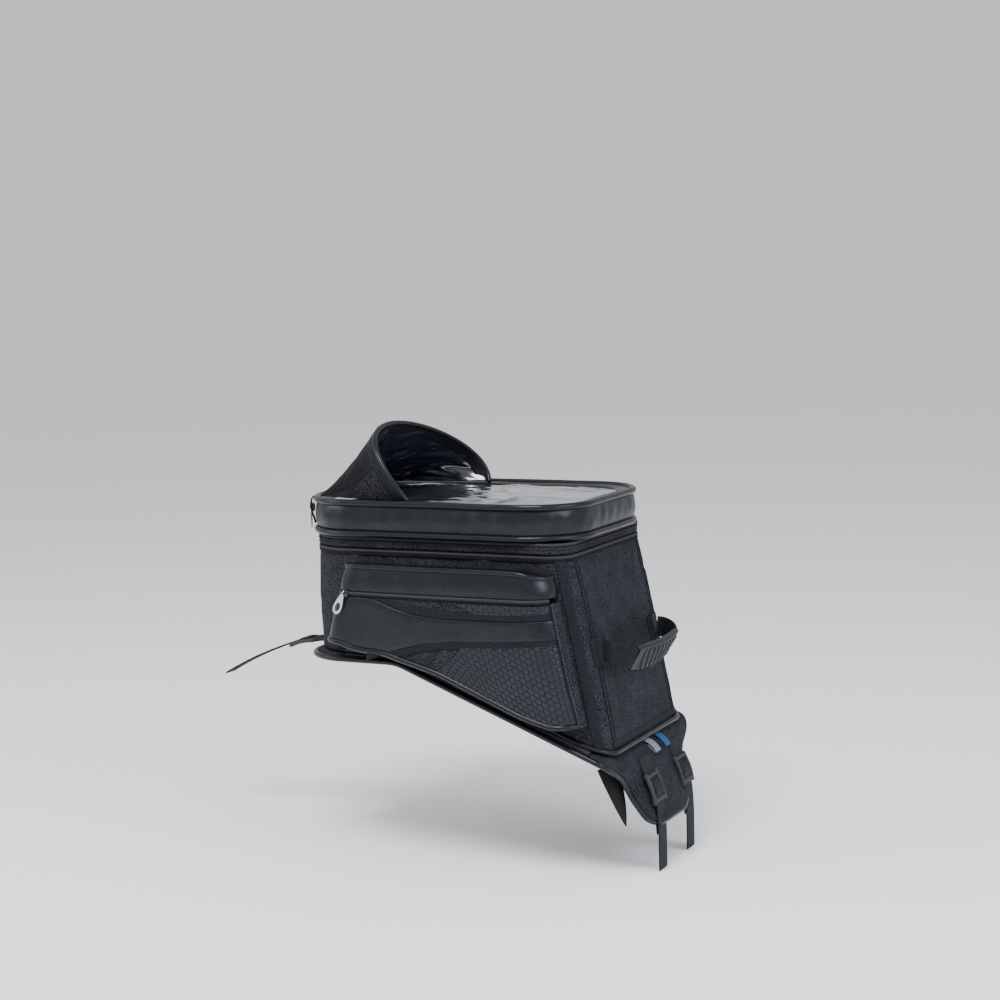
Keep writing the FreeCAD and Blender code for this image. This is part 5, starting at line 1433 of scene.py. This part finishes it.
class BAG_OT_handle(bpy.types.Operator):
    """Builds the carrying handle: sewn patches, webbing and the ribbed rubber grip"""
    bl_idname = "bag.handle"
    bl_label = "Handle"

    def execute(self, context):
        sizes = context.scene.bag_handle
        wide = sizes.webbing / MM
        for side, tag in ((-1, "left"), (1, "right")):
            x0, x1 = sorted((side * 101.0, side * 66.0))
            patch_grid = rear_strip(x0, x1, 10.0, 38.0, 1.2, 100, 14)
            rib = 0.35 * np.cos(np.linspace(0, 35 / 2.6 * 2 * np.pi, 100))[:, None]
            patch_grid[..., 1] -= rib
            place(surface_object("handle_patch_" + tag, patch_grid, webbing(), wall=1.6), "bag",
                  "webbing", *(["handle_anchors"] if side < 0 else []))
            loops = rear_strip(side * 84 - 6, side * 84 + 6, 9.5, 39.0, 2.6, 24, 14)
            place(surface_object("handle_loop_" + tag, loops, webbing(), wall=2.2), "bag", "webbing")
            for column in (3, -4):
                place(stitched("handle_stitches_%s_%d" % (tag, column % 100),
                               patch_grid[column, 1:-1] - (0, 0.5, 0),
                               (0, -1, 0), 3.4, black_thread()), "bag", "webbing")
        path = [(-82, -303, 24.0), (-85, -310, 23.6), (-84, -318, 21.0), (-77, -326, 16.5),
                (-62, -330.5, 13.2),
                (-30, -332.0, 11.8), (0, -332.5, 11.4)]
        path = path + [(-x, y, z) for x, y, z in path[-2::-1]]
        line = smooth_path(path, 2.0)
        turn = np.clip((np.abs(line[:, 0]) - 58) / 24, 0, 1)
        outward = np.stack([np.sign(line[:, 0]) * turn * 1.6, -np.ones(len(line)), -0.58 * (1 - turn)], -1)
        place(ribbed_band(line, wide, 2.6, outward, "handle_webbing_band", webbing(), 3.2, 0.3), "handle",
              "webbing",
              "handle_webbing")
        place(self.grip(sizes), "handle", "grip_rubber", "handle_grip")
        return {"FINISHED"}

    def grip(self, sizes):
        """The rubber grip: a leaning superellipse section carried along a bow, thinner at its mouths, with
        slanted ribs across its outer face that swing as a rounded square wave."""
        s = np.linspace(-1, 1, 260)
        bow = 5.0 * (1 - s * s) - 1.5
        lean = math.radians(30)
        out = np.array([0.0, -math.cos(lean), -math.sin(lean)])
        up = np.array([0.0, -math.sin(lean), math.cos(lean)])
        a = np.arange(48) * 2 * np.pi / 48
        c, d = np.cos(a), np.sin(a)
        flare = 1 - 0.18 * np.abs(s) ** 6
        thick = 6.4 * flare * (0.84 + 0.16 * (1 - s * s))
        high = 17.5 * (1 - 0.12 * np.abs(s) ** 4)
        face = np.sign(c) * np.abs(c) ** 0.55
        rise = np.sign(d) * np.abs(d) ** 0.7
        phase = (s[:, None] * sizes.ribs / 2 * 1.15 + rise[None] * 0.62) * 2 * np.pi
        rib = np.tanh(2.6 * np.sin(phase)) * ease((0.88 - np.abs(s))[:, None] / 0.1)
        rib = rib * ease((c[None] - 0.25) / 0.3) * ease((0.88 - np.abs(rise[None])) / 0.16)
        hollow = 1.8 * (1 - rise[None] ** 2) * (c[None] > 0)
        reach = thick[:, None] * face[None] + 1.3 * rib - hollow + bow[:, None]
        grid = (np.array([0.0, -330.4, 12.5]) + np.array([1.0, 0.0, 0.0]) * (s * 60)[:, None, None]
                + out * reach[..., None] + up * (high[:, None] * rise[None])[..., None])
        mouths = []
        for end, way in ((grid[0], 1), (grid[-1], -1)):
            middle = end.mean(0)
            mouths.append([middle + (end - middle) * shrink + (way * depth, 0, 0)
                           for shrink, depth in ((0.9, -1.2), (0.72, -1.0), (0.70, 4.0), (0.0, 5.0))])
        grid = np.concatenate([mouths[0][::-1], grid, mouths[1]])
        return surface_object("handle_grip_rubber", grid, rubber(), across=True, poles=True)


# ---------------------------------------------------------------- sliders and pulls
def pull_tab(name, centre, along, out, long, wide, material):
    """A cast pull: a plate pierced by a long oval near its free end, drawn as rings round that hole whose
    outer edge follows a tapering outline. Rounded across its section."""
    centre, along, out = (np.asarray(v, float) for v in (centre, along, out))
    along, out = along / np.linalg.norm(along), out / np.linalg.norm(out)
    across = np.cross(out, along)
    a = np.arange(56) * 2 * np.pi / 56
    hole_at = long * 0.17
    inner = np.stack([np.cos(a) * wide * 0.27, hole_at + np.sin(a) * long * 0.20], -1)
    outer = np.stack([np.cos(a) * wide * (0.5 - 0.13 * ease((-np.sin(a) + 0.1) / 1.1)),
                      np.where(np.sin(a) > 0, hole_at + np.sin(a) * long * 0.33,
                               hole_at + np.sin(a) * long * 0.67)],
                     -1)
    b = np.arange(14) * 2 * np.pi / 14
    mix = 0.5 + 0.5 * np.sign(np.cos(b)) * np.abs(np.cos(b)) ** 0.6
    rise = 0.9 * np.sign(np.sin(b)) * np.abs(np.sin(b)) ** 0.7
    plan = inner[:, None] * (1 - mix)[None, :, None] + outer[:, None] * mix[None, :, None]
    grid = centre + across * plan[..., :1] + along * plan[..., 1:] + out * rise[None, :, None]
    return surface_object(name, grid, material, around=True, across=True)


def slider_body(name, centre, along, out, material):
    """A zip slider: a rounded diamond saddle, longer along the zip, with a raised bridge over its middle."""
    centre, along, out = (np.asarray(v, float) for v in (centre, along, out))
    across = np.cross(out, along)
    s = np.linspace(-1, 1, 22)[:, None]
    a = np.arange(24) * 2 * np.pi / 24
    wide = 4.2 * (1 - 0.35 * ease((s + 1) / 2)) * np.sqrt(np.clip(1 - np.abs(s) ** 5, 0, 1))
    thick = 2.0 * np.sqrt(np.clip(1 - np.abs(s) ** 4, 0, 1))
    x = np.sign(np.cos(a)) * np.abs(np.cos(a)) ** 0.6 * wide
    bridge = 1.1 * (np.sin(a) > 0) * np.exp(-(s / 0.5) ** 2) * np.exp(-(x / 1.6) ** 2)
    z = np.sign(np.sin(a)) * np.abs(np.sin(a)) ** 0.8 * thick + bridge
    grid = centre + along * (s * 5.6)[..., None] + across * x[..., None] + out * z[..., None]
    return surface_object(name, grid, material, across=True, poles=True)


def bail(name, centre, along, out, long, wide, material):
    """The wire loop that joins slider and pull: an oval of round wire in the plane of along and out."""
    centre, along, out = (np.asarray(v, float) for v in (centre, along, out))
    across = np.cross(out, along)
    a = np.linspace(0, 2 * np.pi, 40, endpoint=False)
    path = centre + along * (np.sin(a) * long)[:, None] + out * (np.cos(a) * wide)[:, None]
    grid = swept(path, circle(0.75, 8), across, closed=True)
    return surface_object(name, grid, material, around=True, across=True)


class BAG_OT_zips(bpy.types.Operator):
    """Builds each zip's slider, wire bail and cast pull, and the loop that keeps the main pull quiet"""
    bl_idname = "bag.zips"
    bl_label = "Sliders and pulls"

    def execute(self, context):
        bright = zinc("bright_plated_zinc", "#c9c9c6", 0.24, 1.0, 0.0)
        black = zinc("black_enamelled_zinc", "#1b1d20", 0.3, 0.4, 0.5)
        lean, turn = math.radians(25), math.radians(116)
        corner_out = np.array([math.cos(turn), math.sin(turn), 0.0])
        rows = (("left_pocket", (0, 1, 0), (-1, 0, 0), (0, math.sin(lean), -math.cos(lean)), bright, 27,
                 11.0),
                ("right_pocket", (0, 1, 0), (1, 0, 0), (0, 0, -1), bright, 27, 11.0),
                ("expansion", (-1, 0, 0), (0, 1, 0), (0, 0, -1), black, 26, 9.0),
                ("base", (0, 1, 0), (1, 0, 0), (0, 1, 0), black, 25, 9.0),
                ("main", (0, 0, 1), corner_out, (0, 0, -1), bright, 27, 12.0))
        for name, along, out, hang, metal, long, wide in rows:
            low, high = (np.array(v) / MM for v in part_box(name + "_slider"))
            middle = (low + high) / 2
            out, hang = np.asarray(out, float), np.asarray(hang, float)
            place(slider_body(name + "_slider_cast", middle, along, out, black), name + "_slider",
                  "black_zinc", name + "_slider")
            low, high = (np.array(v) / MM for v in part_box(name + "_pull"))
            spot = (low + high) / 2 + hang * (long - 24) / 2
            body, slot = name + "_pull", "bright_zinc" if metal is bright else "black_zinc"
            place(pull_tab(name + "_pull_tab", spot, hang, out, long, wide, metal), body, slot,
                  name + "_pull")
            top = spot - hang * (long * 0.5)
            place(bail(name + "_pull_bail", top + hang * 0.6 - out * 0.9, hang, out, 3.6, 2.4, metal), body,
                  slot)
        low, high = (np.array(v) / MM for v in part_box("zip_garage"))
        out = corner_out
        foot = np.array([(low[0] + high[0]) / 2, (low[1] + high[1]) / 2, low[2]])
        rise = high[2] - low[2]
        path = [foot + (0, 0, rise + 7) - out * 1.5, foot + (0, 0, rise + 6) + out * 3.5,
                foot + (0, 0, rise) + out * 6.0, foot + (0, 0, rise * 0.5) + out * 5.0,
                foot + (0, 0, rise * 0.3) + out * 2.4, foot + (0, 0, rise * 0.05) + out * 0.8]
        place(ribbed_band(smooth_path(path, 1.2), 11, 1.8, out + (0, 0, 0.2), "zip_garage_loop", webbing()),
              "lid",
              "zip_tape", "zip_garage")
        return {"FINISHED"}


# ---------------------------------------------------------------- floor, light and camera
class StageSettings(bpy.types.PropertyGroup):
    """Floor, light and lens."""
    floor_colour: FloatVectorProperty(name="Floor colour", description="Colour of the pale floor",
                                      subtype="COLOR",
                                      size=3, default=tone("#fbfcfd")[:3], min=0, max=1)
    key: FloatProperty(name="Key light", description="Power of the large soft light", default=85.0,
                       unit="POWER")
    lens: FloatProperty(name="Lens", description="Focal length in millimetres", default=72.0)


class BAG_OT_stage(bpy.types.Operator):
    """Builds the pale floor, the soft lights and the camera"""
    bl_idname = "bag.stage"
    bl_label = "Stage"

    def execute(self, context):
        settings = context.scene.bag_stage
        a = np.linspace(0, 2 * np.pi, 96, endpoint=False)[:, None]
        r = np.concatenate([np.linspace(0, 2500, 12), [9000, 30000]])[None]
        grid = np.stack(np.broadcast_arrays(np.cos(a) * r, np.sin(a) * r, FLOOR_LEVEL + 0 * r), -1)

        def surface(tree):
            spot = add(tree, "TexCoord").outputs["Object"]
            grain = add(tree, "TexNoise", {"Vector": spot, "Scale": 3.0}).outputs["Fac"]
            base = tuple(settings.floor_colour) + (1.0,)
            deep = tuple(c * 0.99 for c in settings.floor_colour) + (1.0,)
            colour = add(tree, "Mix", {"Factor": grain, 6: deep, 7: base}, data_type="RGBA").outputs[2]
            return {"Base Color": colour, "Roughness": 0.9, "Specular IOR Level": 0.1}
        floor = surface_object("studio_floor", grid, finish("pale_floor", surface), around=True, poles=True,
                               flip=True)

        world = bpy.data.worlds.new("studio")
        bpy.context.scene.world = world
        world.use_nodes = True
        tree = world.node_tree
        tree.nodes.clear()
        spot = add(tree, "TexCoord").outputs["Generated"]
        high = add(tree, "SeparateXYZ", {0: spot}).outputs["Z"]
        share = add(tree, "MapRange", {"Value": high, "From Min": 0.2, "From Max": 0.9}).outputs[0]
        sky = add(tree, "Mix", {"Factor": share, 6: tone("#f9fbfd"), 7: tone("#ffffff")},
                  data_type="RGBA").outputs[2]
        shade = add(tree, "Background", {"Color": sky, "Strength": 0.8})
        add(tree, "OutputWorld", {"Surface": shade.outputs[0]})

        for name, spot, target, wide, tall, power, colour in (
                ("key", (-1.5, -0.3, 2.5), (0, -0.1, 0.1), 1.3, 0.9, settings.key, "#ffffff"),
                ("rim", (-0.4, -2.3, 1.2), (0, -0.2, 0.05), 1.2, 0.9, settings.key * 0.35, "#e8f0ff"),
                ("front", (-1.2, 1.9, 1.1), (0, 0.0, 0.1), 1.4, 1.0, settings.key * 0.25, "#f2f6ff")):
            data = bpy.data.lights.new(name, "AREA")
            data.shape, data.size, data.size_y = "RECTANGLE", wide, tall
            data.energy, data.color = power, tone(colour)[:3]
            lamp = bpy.data.objects.new(name + "_light", data)
            lamp.location = spot
            lamp.rotation_euler = (Vector(target) - Vector(spot)).to_track_quat("-Z", "Y").to_euler()
            bpy.context.scene.collection.objects.link(lamp)

        data = bpy.data.cameras.new("view")
        data.lens, data.sensor_width, data.shift_x, data.shift_y = settings.lens, 36.0, *CAMERA_SHIFT
        data.clip_start, data.clip_end = 0.1, 60.0
        camera = bpy.data.objects.new("view", data)
        back = CAMERA_BACK.normalized()
        right = (-back).cross(Vector((0, 0, 1))).normalized()
        up = right.cross(-back)
        c, s = math.cos(CAMERA_ROLL), math.sin(CAMERA_ROLL)
        right, up = right * c + up * s, up * c - right * s
        camera.matrix_world = Matrix(((right.x, up.x, back.x, 0), (right.y, up.y, back.y, 0),
                                      (right.z, up.z, back.z, 0), (0, 0, 0, 1)))
        camera.location = CAMERA_TARGET + back * CAMERA_FAR
        bpy.context.scene.collection.objects.link(camera)
        bpy.context.scene.camera = camera
        return {"FINISHED"}


class BAG_PT_panel(bpy.types.Panel):
    """Lists the bag's building steps and their sizes"""
    bl_idname = "BAG_PT_panel"
    bl_label = "Tank bag"
    bl_space_type = "VIEW_3D"
    bl_region_type = "UI"
    bl_category = "Tank bag"

    def draw(self, context):
        for name, group in GROUPS.items():
            box = self.layout.box()
            settings = getattr(context.scene, name)
            for key in group.__annotations__:
                box.prop(settings, key)
        for operator in OPERATORS:
            self.layout.operator(operator.bl_idname)


GROUPS = {"bag_body": BodySizes, "bag_lid": LidSizes, "bag_hood": HoodSizes, "bag_pockets": PocketSizes,
          "bag_base": BaseSizes, "bag_handle": HandleSizes, "bag_stage": StageSettings}
OPERATORS = (BAG_OT_stage, BAG_OT_base, BAG_OT_straps, BAG_OT_body, BAG_OT_pockets, BAG_OT_collar,
             BAG_OT_lid,
             BAG_OT_hood, BAG_OT_handle, BAG_OT_labels, BAG_OT_zips)
CLASSES = tuple(GROUPS.values()) + OPERATORS + (BAG_PT_panel,)


def register():
    for cls in CLASSES:
        bpy.utils.register_class(cls)
    for name, group in GROUPS.items():
        setattr(bpy.types.Scene, name, PointerProperty(type=group))


def unregister():
    for name in GROUPS:
        delattr(bpy.types.Scene, name)
    for cls in reversed(CLASSES):
        bpy.utils.unregister_class(cls)


def main():
    """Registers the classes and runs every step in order."""
    register()
    for operator in OPERATORS:
        group, name = operator.bl_idname.split(".")
        getattr(getattr(bpy.ops, group), name)()


if __name__ == "__main__":
    main()
